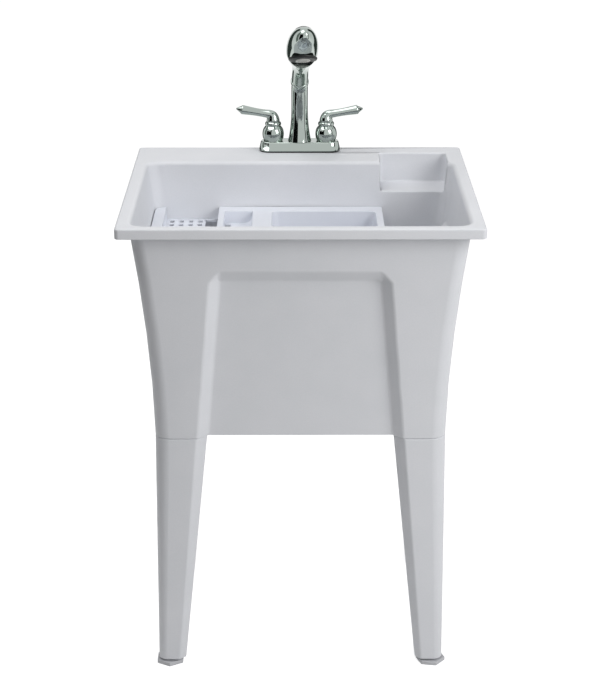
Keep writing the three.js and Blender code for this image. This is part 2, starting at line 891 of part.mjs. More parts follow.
function makeDrainRings() {
  const inner = drain.bodyRadius + fitGap;
  const gasketTop = drainUnder - fitGap;
  const gasketBottom = gasketTop - drain.gasketThickness;
  const washerTop = gasketBottom - fitGap;
  const washerBottom = washerTop - drain.washerThickness;
  const nutTop = washerBottom - fitGap;
  const ring = (outer, z0, z1) => turned(ringOutline(inner, outer, z0, z1), 0, drain.y);
  const nut = ring(drain.nutRadius, nutTop - drain.nutHeight, nutTop);
  const lugs = Array.from({ length: 8 }, (_, i) => {
    const geometry = new THREE.BoxGeometry(8, 6, drain.nutHeight);
    geometry.translate(drain.nutRadius, 0, nutTop - drain.nutHeight / 2);
    geometry.rotateZ((2 * Math.PI * i) / 8);
    geometry.translate(0, drain.y, 0);
    return solid(geometry);
  });
  return {
    gasket: ring(drain.nutRadius - 2, gasketBottom, gasketTop),
    washer: ring(drain.nutRadius - 1, washerBottom, washerTop),
    nut: join(nut, ...lugs),
  };
}

function makeTailpiece() {
  const top = flangeTop - drain.bodyDepth - drain.outletLength - fitGap;
  const { tailRadius, tailWall, tailLength } = drain;
  const flange = tailRadius + 3;
  return turned(
    [
      [tailRadius - tailWall, top],
      [tailRadius - tailWall, top - tailLength],
      [tailRadius, top - tailLength],
      [tailRadius, top - 2],
      [flange, top - 2],
      [flange, top],
      [tailRadius - tailWall, top],
    ],
    0,
    drain.y,
  );
}

function makeSlipNut() {
  const joint = flangeTop - drain.bodyDepth - drain.outletLength - fitGap;
  const top = joint + drain.slipNutHeight * 0.6;
  const bottom = joint - drain.slipNutHeight * 0.4;
  const outside = rodPrism(drain.slipNutRadius, bottom, top, 8);
  const overThread = rod(drain.tailRadius + 3 + fitGap, joint - 2 - fitGap, top + 1, 0, drain.y);
  const throughHole = rod(drain.tailRadius + fitGap, bottom - 1, top + 1, 0, drain.y);
  return cut(outside, overThread, throughHole);
}

function rodPrism(radius, z0, z1, sides) {
  return rod(radius, z0, z1, 0, drain.y, sides);
}

// ---------- faucet ----------
function makeFaucetGasket() {
  const x = faucet.baseHalfWidth - 0.8;
  const y = faucet.baseHalfDepth - 0.8;
  const bottom = rim.top + fitGap;
  const top = bottom + faucet.gasket;
  const pad = roundedBlock(-x, x, faucetY - y, faucetY + y, bottom, top, faucet.baseRadius);
  const holes = [-deck.holeSpacing, 0, deck.holeSpacing].map((beside) =>
    rod(deck.holeRadius, bottom - 1, top + 1, beside, faucetY),
  );
  return cut(pad, ...holes);
}

function makeFaucetBase() {
  const { baseHalfWidth, baseHalfDepth, baseTaper, baseRadius, baseRounding } = faucet;
  const ring = (inset, z) =>
    roundedRing(
      inset - baseHalfWidth,
      baseHalfWidth - inset,
      faucetY - baseHalfDepth + inset,
      faucetY + baseHalfDepth - inset,
      baseRadius - inset,
      z,
    );
  const body = loft([
    ring(0, baseBottom),
    ring(0, baseBottom + 2),
    ring(baseTaper - 0.6, baseTop - baseRounding),
    ring(baseTaper + 0.3, baseTop - baseRounding * 0.4),
    ring(baseTaper + 2, baseTop),
  ]);
  const bore = (radius, x) => rod(radius + fitGap, baseBottom - 1, baseTop + 1, x, faucetY);
  return cut(
    body,
    bore(faucet.shankRadius, -deck.holeSpacing),
    bore(faucet.shankRadius, deck.holeSpacing),
    bore(column.spigotRadius, 0),
  );
}

// The brass valve inside each hub. Its shank goes down through the deck.
function makeValve(x) {
  const { shankRadius, stemRadius, stemSeat } = faucet;
  const seat = baseTop + fitGap;
  const stemBore = stemRadius + fitGap;
  const outside = valveOutline.map(([radius, up]) => [radius, seat + up]);
  const top = outside.at(-1)[1];
  return turned(
    [
      [0, shankBottom],
      [shankRadius, shankBottom],
      [shankRadius, seat],
      ...outside,
      [stemBore, top],
      [stemBore, seat + stemSeat],
      [0, seat + stemSeat],
    ],
    x,
    faucetY,
    smallSides,
  );
}

function makeStem(x) {
  const bottom = baseTop + faucet.stemSeat + 2 * fitGap;
  return rod(faucet.stemRadius, bottom, hubTop + faucet.stemReach, x, faucetY, smallSides);
}

function makeHub(x) {
  const seat = baseTop + fitGap;
  const lifted = (outline) => outline.map(([radius, up]) => [radius, seat + up]);
  const bore = faucet.stemRadius + fitGap;
  return turned(
    [
      ...lifted(hubOutside),
      [hub.topRadius, hubTop],
      [bore, hubTop],
      [bore, hubTop - hub.topPlate],
      ...lifted(hubInside),
      [hubOutside[0][0], seat],
    ],
    x,
    faucetY,
    hubSides,
  );
}

// A lever handle: a domed skirt over the stem, and an arm that swells to a pointed end.
function makeLever(side) {
  const seat = hubTop + fitGap;
  const outside = skirtOutline.map(([radius, up]) => [radius, seat + up]);
  const skirt = turned([[0, seat], ...outside], 0, 0, smallSides);
  const rings = armSections.map(([out, up, radius]) =>
    Array.from({ length: smallSides }, (_, i) => {
      const angle = (2 * Math.PI * i) / smallSides;
      return new THREE.Vector3(out, radius * Math.cos(angle), seat + up + radius * Math.sin(angle));
    }),
  );
  const holeTop = hubTop + faucet.stemReach + 2 * fitGap;
  const stemHole = rod(faucet.stemRadius + fitGap, seat - 1, holeTop, 0, 0, smallSides);
  const geometry = geometryOf(cut(join(skirt, loft(rings)), stemHole));
  if (side < 0) geometry.rotateZ(Math.PI);
  geometry.translate(side * deck.holeSpacing, faucetY, 0);
  return solid(geometry);
}

function makeShankNut(x) {
  const top = deckUnder - fitGap;
  const bottom = top - faucet.nutHeight;
  const body = rod(faucet.nutRadius, bottom, top, x, faucetY, smallSides);
  const reach = faucet.nutRadius + faucet.nutWing;
  const half = faucet.nutWing / 2;
  const wings = block(x - reach, x + reach, faucetY - half, faucetY + half, bottom - 4, top - 2);
  const bore = rod(faucet.shankRadius + fitGap, bottom - 5, top + 1, x, faucetY);
  return cut(join(body, wings), bore);
}

// The open tube under the middle of the faucet that the spray hose runs through.
function makeHoseGuide() {
  const top = baseBottom - fitGap;
  const outline = ringOutline(faucet.guideBore, faucet.guideRadius, rim.top - faucet.guideReach, top);
  return turned(outline, 0, faucetY, smallSides);
}

// A section of the column at its bend, which starts upright and ends at the dock.
function bendSection(degrees, radius, sides) {
  const lean = radians(degrees);
  const y = -dock.bendRadius * (1 - Math.cos(lean));
  const z = columnSeat + column.riser + dock.bendRadius * Math.sin(lean);
  return sectionAt(0, y, z, 90 - degrees, radius, sides);
}

function bendSections(radius, sides) {
  return spread(0, dock.bend, 4).map((degrees) => bendSection(degrees, radius, sides));
}

// Where the column ends and the spray head docks, in the plane of X = 0, and the dock's direction.
function dockPlace() {
  const bend = radians(dock.bend);
  return {
    y: -dock.bendRadius * (1 - Math.cos(bend)),
    z: columnSeat + column.riser + dock.bendRadius * Math.sin(bend),
    rise: 90 - dock.bend,
  };
}

// A round solid along the dock's direction, through [distance past the dock, radius] pairs.
function dockLoft(outline) {
  const { y, z, rise } = dockPlace();
  const lean = radians(rise);
  const sections = outline.map(([along, radius]) =>
    sectionAt(0, y - along * Math.cos(lean), z + along * Math.sin(lean), rise, radius, ringSides),
  );
  return loft(sections);
}

// The spout's pieces are made round X = 0, Y = 0 and then stand turned at the faucet's middle.
function makeColumn() {
  const { radius, footRadius, taperHeight, taperPower, taperSteps, spigotRadius, hoseRadius } = column;
  const straight = spread(0, 1, taperSteps).map((share) => {
    const swell = (footRadius - radius) * (1 - share) ** taperPower;
    return sectionAt(0, 0, columnSeat + taperHeight * share, 90, radius + swell, ringSides);
  });
  const { collarLength, collarRadius, collarChamfer } = dock;
  const collar = dockLoft([
    [-collarLength, radius],
    [collarChamfer - collarLength, collarRadius],
    [-collarChamfer, collarRadius],
    [0, collarRadius - 1],
  ]);
  const spigot = rod(spigotRadius, baseBottom + fitGap, columnSeat + 1);
  const socket = dockLoft([[-dock.socketDepth, dock.socketRadius], [2, dock.socketRadius]]);
  const boreStart = sectionAt(0, 0, baseBottom - 1, 90, hoseRadius, smallSides);
  const bore = loft([boreStart, ...bendSections(hoseRadius, smallSides)]);
  const outside = loft([...straight, ...bendSections(radius, ringSides)]);
  return cut(join(outside, collar, spigot), socket, bore);
}

// The wand's middle line: it starts along the dock and curves over towards level.
function wandLine() {
  const { y, z, rise: startRise } = dockPlace();
  const step = wand.length / wand.steps;
  const line = [{ along: 0, y, z, rise: startRise }];
  for (let i = 1; i <= wand.steps; i += 1) {
    const before = line[i - 1];
    const rise = THREE.MathUtils.lerp(startRise, wand.endRise, i / wand.steps);
    const lean = radians((rise + before.rise) / 2);
    line.push({
      along: i * step,
      y: before.y - step * Math.cos(lean),
      z: before.z + step * Math.sin(lean),
      rise,
    });
  }
  return line;
}

function wandRadiusAt(along) {
  const { neckLength, fullAt, radius, length, swellPower } = wand;
  if (along < fullAt) {
    const share = THREE.MathUtils.clamp((along - neckLength) / (fullAt - neckLength), 0, 1);
    const swell = Math.sin((share * Math.PI) / 2) ** swellPower;
    return column.radius + (radius - column.radius) * swell;
  }
  const share = (along - fullAt) / (length - fullAt);
  return radius * Math.sqrt(1 - share ** 2);
}

// A round solid square to the wand's middle line, through [height, radius] pairs. Heights are from
// the middle line, and length is its size along the wand as a share of its width.
function crossLoft(at, outline, length = 1) {
  const { y, z, rise } = wandLine()[Math.round((at / wand.length) * wand.steps)];
  const lean = radians(rise);
  const sections = outline.map(([up, radius]) =>
    sectionAt(0, y + up * Math.sin(lean), z + up * Math.cos(lean), rise + 90, radius, ringSides, length),
  );
  return loft(sections);
}

// The wand's outer form, grown outwards by a distance.
function wandBody(grow) {
  const line = wandLine();
  const section = ({ along, y, z, rise }, back = 0) => {
    const lean = radians(rise);
    const radius = wandRadiusAt(along - back) + grow;
    return sectionAt(0, y + back * Math.cos(lean), z - back * Math.sin(lean), rise, radius, ringSides);
  };
  const nose = line.at(-1);
  const sections = [
    section(line[0], -fitGap),
    ...line.slice(1, -1).map((point) => section(point)),
    section(nose, wand.noseStep),
  ];
  const noseLean = radians(nose.rise);
  const tip = new THREE.Vector3(0, nose.y - grow * Math.cos(noseLean), nose.z + grow * Math.sin(noseLean));
  return loft(sections, null, tip);
}

function makeSprayHead() {
  const clear = 2 * wand.radius;
  const spigotRadius = dock.socketRadius - wand.spigotClearance;
  const spigot = dockLoft([[-wand.spigotLength, spigotRadius], [4, spigotRadius]]);
  const faceSeat = crossLoft(face.at, [[-clear, face.seatRadius], [-face.seat, face.seatRadius]]);
  const pocketHalf = button.halfWidth + fitGap;
  const pocketLength = (button.halfLength + fitGap) / pocketHalf;
  const pocket = crossLoft(button.at, [[button.seat, pocketHalf], [clear, pocketHalf]], pocketLength);
  return cut(join(wandBody(0), spigot), faceSeat, pocket);
}

function makeSprayFace() {
  const { at, seat, radius, depth, edge, plateRadius, plateSink } = face;
  const top = -seat - fitGap;
  const bottom = top - depth;
  const collar = crossLoft(at, [
    [top, radius - edge / 3],
    [top - edge, radius],
    [bottom + edge, radius - edge / 3],
    [bottom, radius - edge],
  ]);
  const sunk = crossLoft(at, [[bottom - 1, plateRadius], [bottom + plateSink, plateRadius]]);
  return cut(collar, sunk);
}

function makeSprayButton() {
  const { at, halfWidth, halfLength, seat, travel, proud } = button;
  const bottom = seat + travel + fitGap;
  const clear = 2 * wand.radius;
  const upright = crossLoft(at, [[bottom, halfWidth], [clear, halfWidth]], halfLength / halfWidth);
  return wandBody(proud).intersect(upright);
}

// ---------- assembly ----------
const materials = {
  tub: { color: 0xd9dbe0, roughness: 0.42, metalness: 0 },
  tray: { color: 0xdddfe6, roughness: 0.38, metalness: 0 },
  foot: { color: 0xd4d5d8, roughness: 0.5, metalness: 0 },
  chrome: { color: 0xaeb4b2, roughness: 0.08, metalness: 1 },
  brass: { color: 0xb59a5a, roughness: 0.35, metalness: 1 },
  steel: { color: 0xb8babb, roughness: 0.25, metalness: 1 },
  rubber: { color: 0x26282a, roughness: 0.75, metalness: 0 },
  blackPlastic: { color: 0x1d1f21, roughness: 0.4, metalness: 0 },
  whitePlastic: { color: 0xe6e6e2, roughness: 0.5, metalness: 0 },
};

const sink = new THREE.Group();
const spout = new THREE.Group();
spout.position.set(0, faucetY, 0);
spout.rotation.z = radians(column.swing);
sink.add(spout);

function place(name, made, finish, group = sink) {
  const mesh = new THREE.Mesh(geometryOf(made), new THREE.MeshStandardMaterial(materials[finish]));
  mesh.name = name;
  group.add(mesh);
}

place('tub', makeTub(), 'tub');
for (const [sideY, end] of [[-1, 'front'], [1, 'rear']]) {
  for (const [sideX, hand] of [[-1, 'left'], [1, 'right']]) {
    const corner = `${end}_${hand}`;
    place(`leg_${corner}`, makeLeg(sideX, sideY), 'tub');
    place(`foot_${corner}`, makeFoot(sideX, sideY, foot.turns[corner]), 'foot');
  }
}
place('storage_tray', makeTray(), 'tray');

const drainRings = makeDrainRings();
place('drain_body', makeDrainBody(), 'steel');
place('drain_basket', makeBasket(), 'steel');
place('drain_gasket', drainRings.gasket, 'rubber');
place('drain_washer', drainRings.washer, 'whitePlastic');
place('drain_lock_nut', drainRings.nut, 'steel');
place('drain_tailpiece', makeTailpiece(), 'whitePlastic');
place('drain_slip_nut', makeSlipNut(), 'whitePlastic');

place('faucet_gasket', makeFaucetGasket(), 'blackPlastic');
place('faucet_base', makeFaucetBase(), 'chrome');
place('hose_guide', makeHoseGuide(), 'whitePlastic');
for (const [side, hand] of [[-1, 'left'], [1, 'right']]) {
  const x = side * deck.holeSpacing;
  place(`valve_${hand}`, makeValve(x), 'brass');
  place(`valve_stem_${hand}`, makeStem(x), 'brass');
  place(`valve_hub_${hand}`, makeHub(x), 'chrome');
  place(`lever_${hand}`, makeLever(side), 'chrome');
  place(`shank_nut_${hand}`, makeShankNut(x), 'whitePlastic');
}
place('spout_column', makeColumn(), 'chrome', spout);
place('spray_head', makeSprayHead(), 'chrome', spout);
place('spray_face', makeSprayFace(), 'blackPlastic', spout);
place('spray_button', makeSprayButton(), 'blackPlastic', spout);

export default sink;
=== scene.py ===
import json
import math

import bmesh
import bpy
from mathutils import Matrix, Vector


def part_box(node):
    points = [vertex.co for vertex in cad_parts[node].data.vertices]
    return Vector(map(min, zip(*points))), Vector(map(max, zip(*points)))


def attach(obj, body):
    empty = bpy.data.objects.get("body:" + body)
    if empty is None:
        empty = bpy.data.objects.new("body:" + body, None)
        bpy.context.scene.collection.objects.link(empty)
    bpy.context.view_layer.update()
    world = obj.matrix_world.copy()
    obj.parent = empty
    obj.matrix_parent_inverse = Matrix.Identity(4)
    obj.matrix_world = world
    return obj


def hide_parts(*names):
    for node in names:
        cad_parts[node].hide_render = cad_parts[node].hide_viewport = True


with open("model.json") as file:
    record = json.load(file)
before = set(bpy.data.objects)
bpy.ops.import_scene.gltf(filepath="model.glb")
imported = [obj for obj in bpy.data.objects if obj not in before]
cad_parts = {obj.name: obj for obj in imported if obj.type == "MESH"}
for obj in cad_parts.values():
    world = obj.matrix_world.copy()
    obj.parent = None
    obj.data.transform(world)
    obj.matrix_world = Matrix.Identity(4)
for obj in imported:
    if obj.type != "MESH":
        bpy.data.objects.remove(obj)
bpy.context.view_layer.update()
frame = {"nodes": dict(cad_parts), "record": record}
nodes = frame["nodes"]
slotOf = {part["node"]: part["material_slot"] for part in frame["record"]["subparts"]}
bodyOf = {}
for bodyName, members in frame["record"]["behaviour"]["bodies"].items():
    for member in members:
        bodyOf[member] = bodyName
mm = 0.001

# the photograph's camera, for its 600 x 686 frame
camera = {
    "place": (-0.0119, -3.1423, 1.7370),
    "down": 20.651,  # degrees below level
    "turn": 0.214,  # degrees to the right
    "focal": 1803.8,  # pixels
    "longSide": 686,  # pixels
    "sensor": 36,  # mm
    "farthest": 50,  # metres that it sees
}


def addCamera():
    data = bpy.data.cameras.new("photoCamera")
    data.sensor_width = camera["sensor"]
    data.lens = camera["focal"] / camera["longSide"] * data.sensor_width
    data.clip_end = camera["farthest"]
    body = bpy.data.objects.new("photoCamera", data)
    body.location = camera["place"]
    body.rotation_euler = (math.radians(90 - camera["down"]), 0, -math.radians(camera["turn"]))
    bpy.context.scene.collection.objects.link(body)
    bpy.context.scene.camera = body


addCamera()
print("stage: camera")


# finishes: how strongly their patterns act
pattern = {
    "sum": (0.6, 1.4),  # the two noises of a plastic mostly add up to between these
    "plasticGloss": 0.05,  # either way of the roughness
    "plasticDepth": 0.12,  # of the grain's size
    "chromeGloss": 0.4,  # either way, as a share of the roughness
    "chromeDepth": 0.01,  # of the wave's size
    "turnedGloss": 0.07,  # either way
    "turnedDepth": 0.1,  # of the pitch
    "turnedScale": 6,  # draws rings 1.9 pitches apart, because real ones are too fine to show
}


def linear(hexColour):
    # sRGB hex to linear, by the standard's curve
    parts = [int(hexColour[i:i + 2], 16) / 255 for i in (1, 3, 5)]
    return [p / 12.92 if p <= 0.04045 else ((p + 0.055) / 1.055) ** 2.4 for p in parts] + [1.0]


def addNode(tree, kind, settings=None, links=None):
    # settings are properties or sockets, links are (node, output), and a socket is given by name or number
    node = tree.nodes.new(kind)
    for name, value in (settings or {}).items():
        if isinstance(name, int) or name in node.inputs:
            node.inputs[name].default_value = value
        else:
            setattr(node, name, value)
    for name, (source, output) in (links or {}).items():
        tree.links.new(source.outputs[output], node.inputs[name])
    return node


def startMaterial(name):
    material = bpy.data.materials.new(name)
    material.use_nodes = True
    material.node_tree.nodes.clear()
    return material, material.node_tree


def mouldedPlastic(name, look):
    # a matte moulded face: a soft sheen broken by fine grain, and hardly any change of colour
    material, tree = startMaterial(name)
    place = addNode(tree, "ShaderNodeTexCoord")
    grain = addNode(tree, "ShaderNodeTexNoise",
                    {"Scale": 1 / look["grain"], "Detail": 3.0, "Roughness": 0.6},
                    {"Vector": (place, "Object")})
    cloud = addNode(tree, "ShaderNodeTexNoise", {"Scale": 1 / look["cloud"], "Detail": 2.0},
                    {"Vector": (place, "Object")})
    both = addNode(tree, "ShaderNodeMath", {"operation": "ADD"}, {0: (grain, "Fac"), 1: (cloud, "Fac")})
    tone = addNode(tree, "ShaderNodeMapRange",
                   {"From Min": pattern["sum"][0], "From Max": pattern["sum"][1]}, {"Value": (both, 0)})
    # sockets 6 and 7 and output 2 are the mix's colours
    colour = addNode(tree, "ShaderNodeMix",
                     {"data_type": "RGBA", 6: linear(look["shade"]), 7: linear(look["colour"])},
                     {0: (tone, 0)})
    gloss = addNode(tree, "ShaderNodeMapRange",
                    {"To Min": look["roughness"] - pattern["plasticGloss"],
                     "To Max": look["roughness"] + pattern["plasticGloss"]},
                    {"Value": (grain, "Fac")})
    bump = addNode(tree, "ShaderNodeBump",
                   {"Strength": look["bump"], "Distance": look["grain"] * pattern["plasticDepth"]},
                   {"Height": (grain, "Fac")})
    shader = addNode(tree, "ShaderNodeBsdfPrincipled", {"IOR": look["ior"]},
                     {"Base Color": (colour, 2), "Roughness": (gloss, 0), "Normal": (bump, 0)})
    addNode(tree, "ShaderNodeOutputMaterial", None, {"Surface": (shader, 0)})
    return material


def platedChrome(name, look):
    # polished plate over cast brass: a mirror with a faint unevenness left by the buffing wheel
    material, tree = startMaterial(name)
    place = addNode(tree, "ShaderNodeTexCoord")
    waves = addNode(tree, "ShaderNodeTexNoise", {"Scale": 1 / look["wave"], "Detail": 1.0},
                    {"Vector": (place, "Object")})
    gloss = addNode(tree, "ShaderNodeMapRange",
                    {"To Min": look["roughness"] * (1 - pattern["chromeGloss"]),
                     "To Max": look["roughness"] * (1 + pattern["chromeGloss"])},
                    {"Value": (waves, "Fac")})
    bump = addNode(tree, "ShaderNodeBump",
                   {"Strength": look["bump"], "Distance": look["wave"] * pattern["chromeDepth"]},
                   {"Height": (waves, "Fac")})
    shader = addNode(tree, "ShaderNodeBsdfPrincipled",
                     {"Base Color": linear(look["colour"]), "Metallic": 1.0},
                     {"Roughness": (gloss, 0), "Normal": (bump, 0)})
    addNode(tree, "ShaderNodeOutputMaterial", None, {"Surface": (shader, 0)})
    return material


def turnedMetal(name, look):
    # lathe marks run round the piece, so light stretches across them
    material, tree = startMaterial(name)
    place = addNode(tree, "ShaderNodeTexCoord")
    centred = addNode(tree, "ShaderNodeMapping", {"Location": look["centre"]}, {"Vector": (place, "Object")})
    marks = addNode(tree, "ShaderNodeTexWave",
                    {"wave_type": "RINGS", "rings_direction": "Z",
                     "Scale": 1 / look["pitch"] / pattern["turnedScale"], "Distortion": 1.2, "Detail": 2.0},
                    {"Vector": (centred, 0)})
    gloss = addNode(tree, "ShaderNodeMapRange",
                    {"To Min": look["roughness"] - pattern["turnedGloss"],
                     "To Max": look["roughness"] + pattern["turnedGloss"]},
                    {"Value": (marks, "Fac")})
    bump = addNode(tree, "ShaderNodeBump",
                   {"Strength": look["bump"], "Distance": look["pitch"] * pattern["turnedDepth"]},
                   {"Height": (marks, "Fac")})
    shader = addNode(tree, "ShaderNodeBsdfPrincipled",
                     {"Base Color": linear(look["colour"]), "Metallic": 1.0},
                     {"Roughness": (gloss, 0), "Normal": (bump, 0)})
    addNode(tree, "ShaderNodeOutputMaterial", None, {"Surface": (shader, 0)})
    return material


baseLow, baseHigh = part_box("faucet_base")
drainLow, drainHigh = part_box("drain_body")
faucetY = (baseLow.y + baseHigh.y) / 2
drainY = (drainLow.y + drainHigh.y) / 2

finishes = {
    # polypropylene moulded in a spark-eroded tool: an even, soft white without sharp highlights.
    # The real grain is near 0.8 mm, too fine to show, so it is drawn coarser
    "tub_plastic": mouldedPlastic("grainedPolypropylene", {
        "colour": "#e5e6ea", "shade": "#dee0e4", "roughness": 0.5, "ior": 1.49,
        "grain": 2.4 * mm, "cloud": 70 * mm, "bump": 0.25}),
    # polystyrene from a smoother tool: the same white, a little bluer and with more sheen
    "tray_plastic": mouldedPlastic("satinPolystyrene", {
        "colour": "#e8ebf2", "shade": "#e2e5ed", "roughness": 0.38, "ior": 1.55,
        "grain": 1.6 * mm, "cloud": 50 * mm, "bump": 0.12}),
    # glass-filled nylon pads: greyer and rougher than the legs
    "foot_plastic": mouldedPlastic("filledNylon", {
        "colour": "#cfd0d3", "shade": "#c3c4c8", "roughness": 0.58, "ior": 1.53,
        "grain": 1.8 * mm, "cloud": 20 * mm, "bump": 0.35}),
    # bright chromium over polished brass: clear, slightly green reflections from dark to white. The colour
    # is set darker than bare chrome: painted shade for the dim surroundings that it mirrors
    "faucet_chrome": platedChrome("polishedChromePlate", {
        # colour darker than bare chrome: painted shade for the dim surroundings
        "colour": "#aab3ae", "roughness": 0.06, "wave": 9 * mm, "bump": 0.08}),
    # stainless sheet spun to shape: grey, with a soft streak of light across fine rings
    "drain_steel": turnedMetal("spunStainlessSteel", {
        "colour": "#c2c3c2", "roughness": 0.28, "pitch": 1.1 * mm, "bump": 0.2,
        "centre": (0, -drainY, 0)}),
    # brass as it leaves the lathe: warm and bare, with finer rings
    "valve_brass": turnedMetal("machinedBrass", {
        "colour": "#c3a565", "roughness": 0.3, "pitch": 0.9 * mm, "bump": 0.25,
        "centre": (0, -faucetY, 0)}),
    # moulded nitrile rubber, dull and nearly black
    "gasket_rubber": mouldedPlastic("nitrileRubber", {
        "colour": "#26282a", "shade": "#1b1d1f", "roughness": 0.78, "ior": 1.52,
        "grain": 1.2 * mm, "cloud": 18 * mm, "bump": 0.3}),
    # acetal with a fine satin tool finish, which keeps a soft highlight on black
    "black_plastic": mouldedPlastic("blackAcetal", {
        "colour": "#0e1110", "shade": "#090b0a", "roughness": 0.45, "ior": 1.48,
        "grain": 0.9 * mm, "cloud": 15 * mm, "bump": 0.15}),
    # natural polypropylene fittings, slightly warm and satin
    "fitting_plastic": mouldedPlastic("naturalPolypropylene", {
        "colour": "#e4e3dd", "shade": "#d9d8d1", "roughness": 0.45, "ior": 1.49,
        "grain": 1.4 * mm, "cloud": 25 * mm, "bump": 0.2}),
}
for name, node in nodes.items():  # the nodes too, for any that no piece stands for
    node.data.materials.clear()
    node.data.materials.append(finishes[slotOf[name]])
print("stage: finishes")

# the ways that pieces are made
making = {
    "weld": 0.004 * mm,  # points nearer than this are one
    "flatWeight": 60,  # above 50, so that large faces stay flat and the roundings take the turn
    "onLevel": 0.5 * mm,  # a vertex this near a level is on it
    "levelFace": 0.999,  # the normal's share along Z from which a face counts as level
    "flatWithin": 0.15,  # degrees between faces that are joined up
    "overshoot": 0.75,  # of the rounding's radius, off the surface
    "smoothTo": 35,  # degrees
}


def selectOnly(piece):
    bpy.ops.object.select_all(action="DESELECT")
    piece.select_set(True)
    bpy.context.view_layer.objects.active = piece


def editAll(piece):
    selectOnly(piece)
    bpy.ops.object.mode_set(mode="EDIT")
    bpy.ops.mesh.select_all(action="SELECT")


def faceOutwards():
    # ends the editing, with every face pointing out
    bpy.ops.mesh.select_all(action="SELECT")
    bpy.ops.mesh.normals_make_consistent(inside=False)
    bpy.ops.object.mode_set(mode="OBJECT")


def startPiece(name, add, **settings):
    # one of the primitives, at the middle of the floor unless the settings say where
    bpy.ops.object.select_all(action="DESELECT")
    add(**{"location": (0, 0, 0), **settings})
    piece = bpy.context.object
    piece.name = name
    return piece


def joined(pieces):
    # the first takes in the others
    selectOnly(pieces[0])
    for piece in pieces:
        piece.select_set(True)
    bpy.ops.object.join()
    return pieces[0]


def applied(piece, name, kind, settings):
    modifier = piece.modifiers.new(name, kind)
    for key, value in settings.items():
        setattr(modifier, key, value)
    selectOnly(piece)
    bpy.ops.object.modifier_apply(modifier=name)


def carve(piece, cutter, operation="DIFFERENCE"):
    applied(piece, "carve", "BOOLEAN", {"object": cutter, "operation": operation, "solver": "EXACT"})
    bpy.data.objects.remove(cutter)


def roundEdges(piece, sharperThan, width, segments, hardened=False):
    applied(piece, "roundEdges", "BEVEL", {
        "limit_method": "ANGLE", "angle_limit": math.radians(sharperThan), "width": width,
        "segments": segments, "harden_normals": hardened})


def evenShading(piece, smoothTo):
    # smooth rounded edges between faces that stay flat
    selectOnly(piece)
    bpy.ops.object.shade_smooth_by_angle(angle=math.radians(smoothTo))
    applied(piece, "evenShading", "WEIGHTED_NORMAL", {
        "mode": "FACE_AREA", "weight": making["flatWeight"], "keep_sharp": True})


def standFor(piece, node):
    # the piece takes the node's place, body and finish
    piece.data.materials.clear()
    piece.data.materials.append(finishes[slotOf[node]])
    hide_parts(node)
    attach(piece, bodyOf[node])


def atLevel(vertices, levels):
    return any(all(abs(v.co.z - level) < making["onLevel"] for v in vertices) for level in levels)


def seamRoundLevels(piece):
    # level faces run round openings, so seams keep them in parts when flats are joined up
    level = set()
    for face in piece.data.polygons:
        if abs(face.normal.z) > making["levelFace"]:
            level.update(face.edge_keys)
    for edge in piece.data.edges:
        edge.use_seam = edge.key in level


def mouldedCopy(name, node, look):
    # the node's own form, joined up, with its edges rounded
    piece = bpy.data.objects.new(name, nodes[node].data.copy())
    bpy.context.scene.collection.objects.link(piece)
    editAll(piece)
    bpy.ops.mesh.remove_doubles(threshold=look["merge"])
    if look["joinFlats"]:
        bpy.ops.object.mode_set(mode="OBJECT")
        if look.get("ringsInParts"):
            seamRoundLevels(piece)
        bpy.ops.object.mode_set(mode="EDIT")
        bpy.ops.mesh.dissolve_limited(angle_limit=math.radians(making["flatWithin"]),
                                      delimit={"NORMAL", "SEAM"})
    bpy.ops.object.mode_set(mode="OBJECT")
    edges = bmesh.new()
    edges.from_mesh(piece.data)
    weight = edges.edges.layers.float.new("bevel_weight_edge")
    for edge in edges.edges:  # the thin faces at some levels only have room for a smaller rounding
        if edge.calc_face_angle(0) > math.radians(look["edgeAngle"]):
            edge[weight] = look["thinShare"] if atLevel(edge.verts, look.get("thinLevels", ())) else 1
    edges.to_mesh(piece.data)
    edges.free()
    applied(piece, "roundEdges", "BEVEL", {
        "limit_method": "WEIGHT", "width": look["radius"],
        "segments": look["segments"], "miter_outer": "MITER_ARC", "use_clamp_overlap": False})
    for vertex in piece.data.vertices:  # a rounding that overshot a short edge goes back to the surface
        place = nodes[node].closest_point_on_mesh(vertex.co)[1]
        if (place - vertex.co).length > look["radius"] * making["overshoot"]:
            vertex.co = place
    evenShading(piece, making["smoothTo"])
    return piece


def smoothed(points, steps):
    # an even curve through the points
    ends = [points[0], *points, points[-1]]
    curve = []
    for a, b, c, d in zip(ends, ends[1:], ends[2:], ends[3:]):
        for i in range(steps):
            t = i / steps
            curve.append(tuple(
                0.5 * (2 * q + (r - p) * t
                       + (2 * p - 5 * q + 4 * r - s) * t ** 2
                       + (3 * q - p - 3 * r + s) * t ** 3)
                for p, q, r, s in zip(a, b, c, d)))
    return curve + [points[-1]]


def ringPlaces(rings):
    # (radius, cosine, sine) of evenly spaced places, for rings given as (radius, count)
    for radius, count in rings:
        for i in range(count):
            angle = 2 * math.pi * i / count
            yield radius, math.cos(angle), math.sin(angle)


def turnedPiece(name, outline, foot, steps=72, axis=(0, 0, 1)):
    # outline: (radius, height) in mm, drawn beside the axis, along X, and spun round it
    points = [Vector(foot) + Vector(axis) * up * mm + Vector((1, 0, 0)) * radius * mm
              for radius, up in outline]
    piece = startPiece(name, bpy.ops.mesh.primitive_plane_add, size=10 * mm)
    editAll(piece)
    bpy.ops.mesh.merge(type="CENTER")
    bpy.ops.transform.translate(value=points[0])
    for before, now in zip(points, points[1:]):
        bpy.ops.mesh.extrude_vertices_move(TRANSFORM_OT_translate={"value": now - before})
    bpy.ops.mesh.select_all(action="SELECT")
    bpy.ops.mesh.spin(steps=steps, angle=2 * math.pi, center=foot, axis=axis)
    bpy.ops.mesh.select_all(action="SELECT")
    bpy.ops.mesh.remove_doubles(threshold=making["weld"])
    faceOutwards()
    return piece


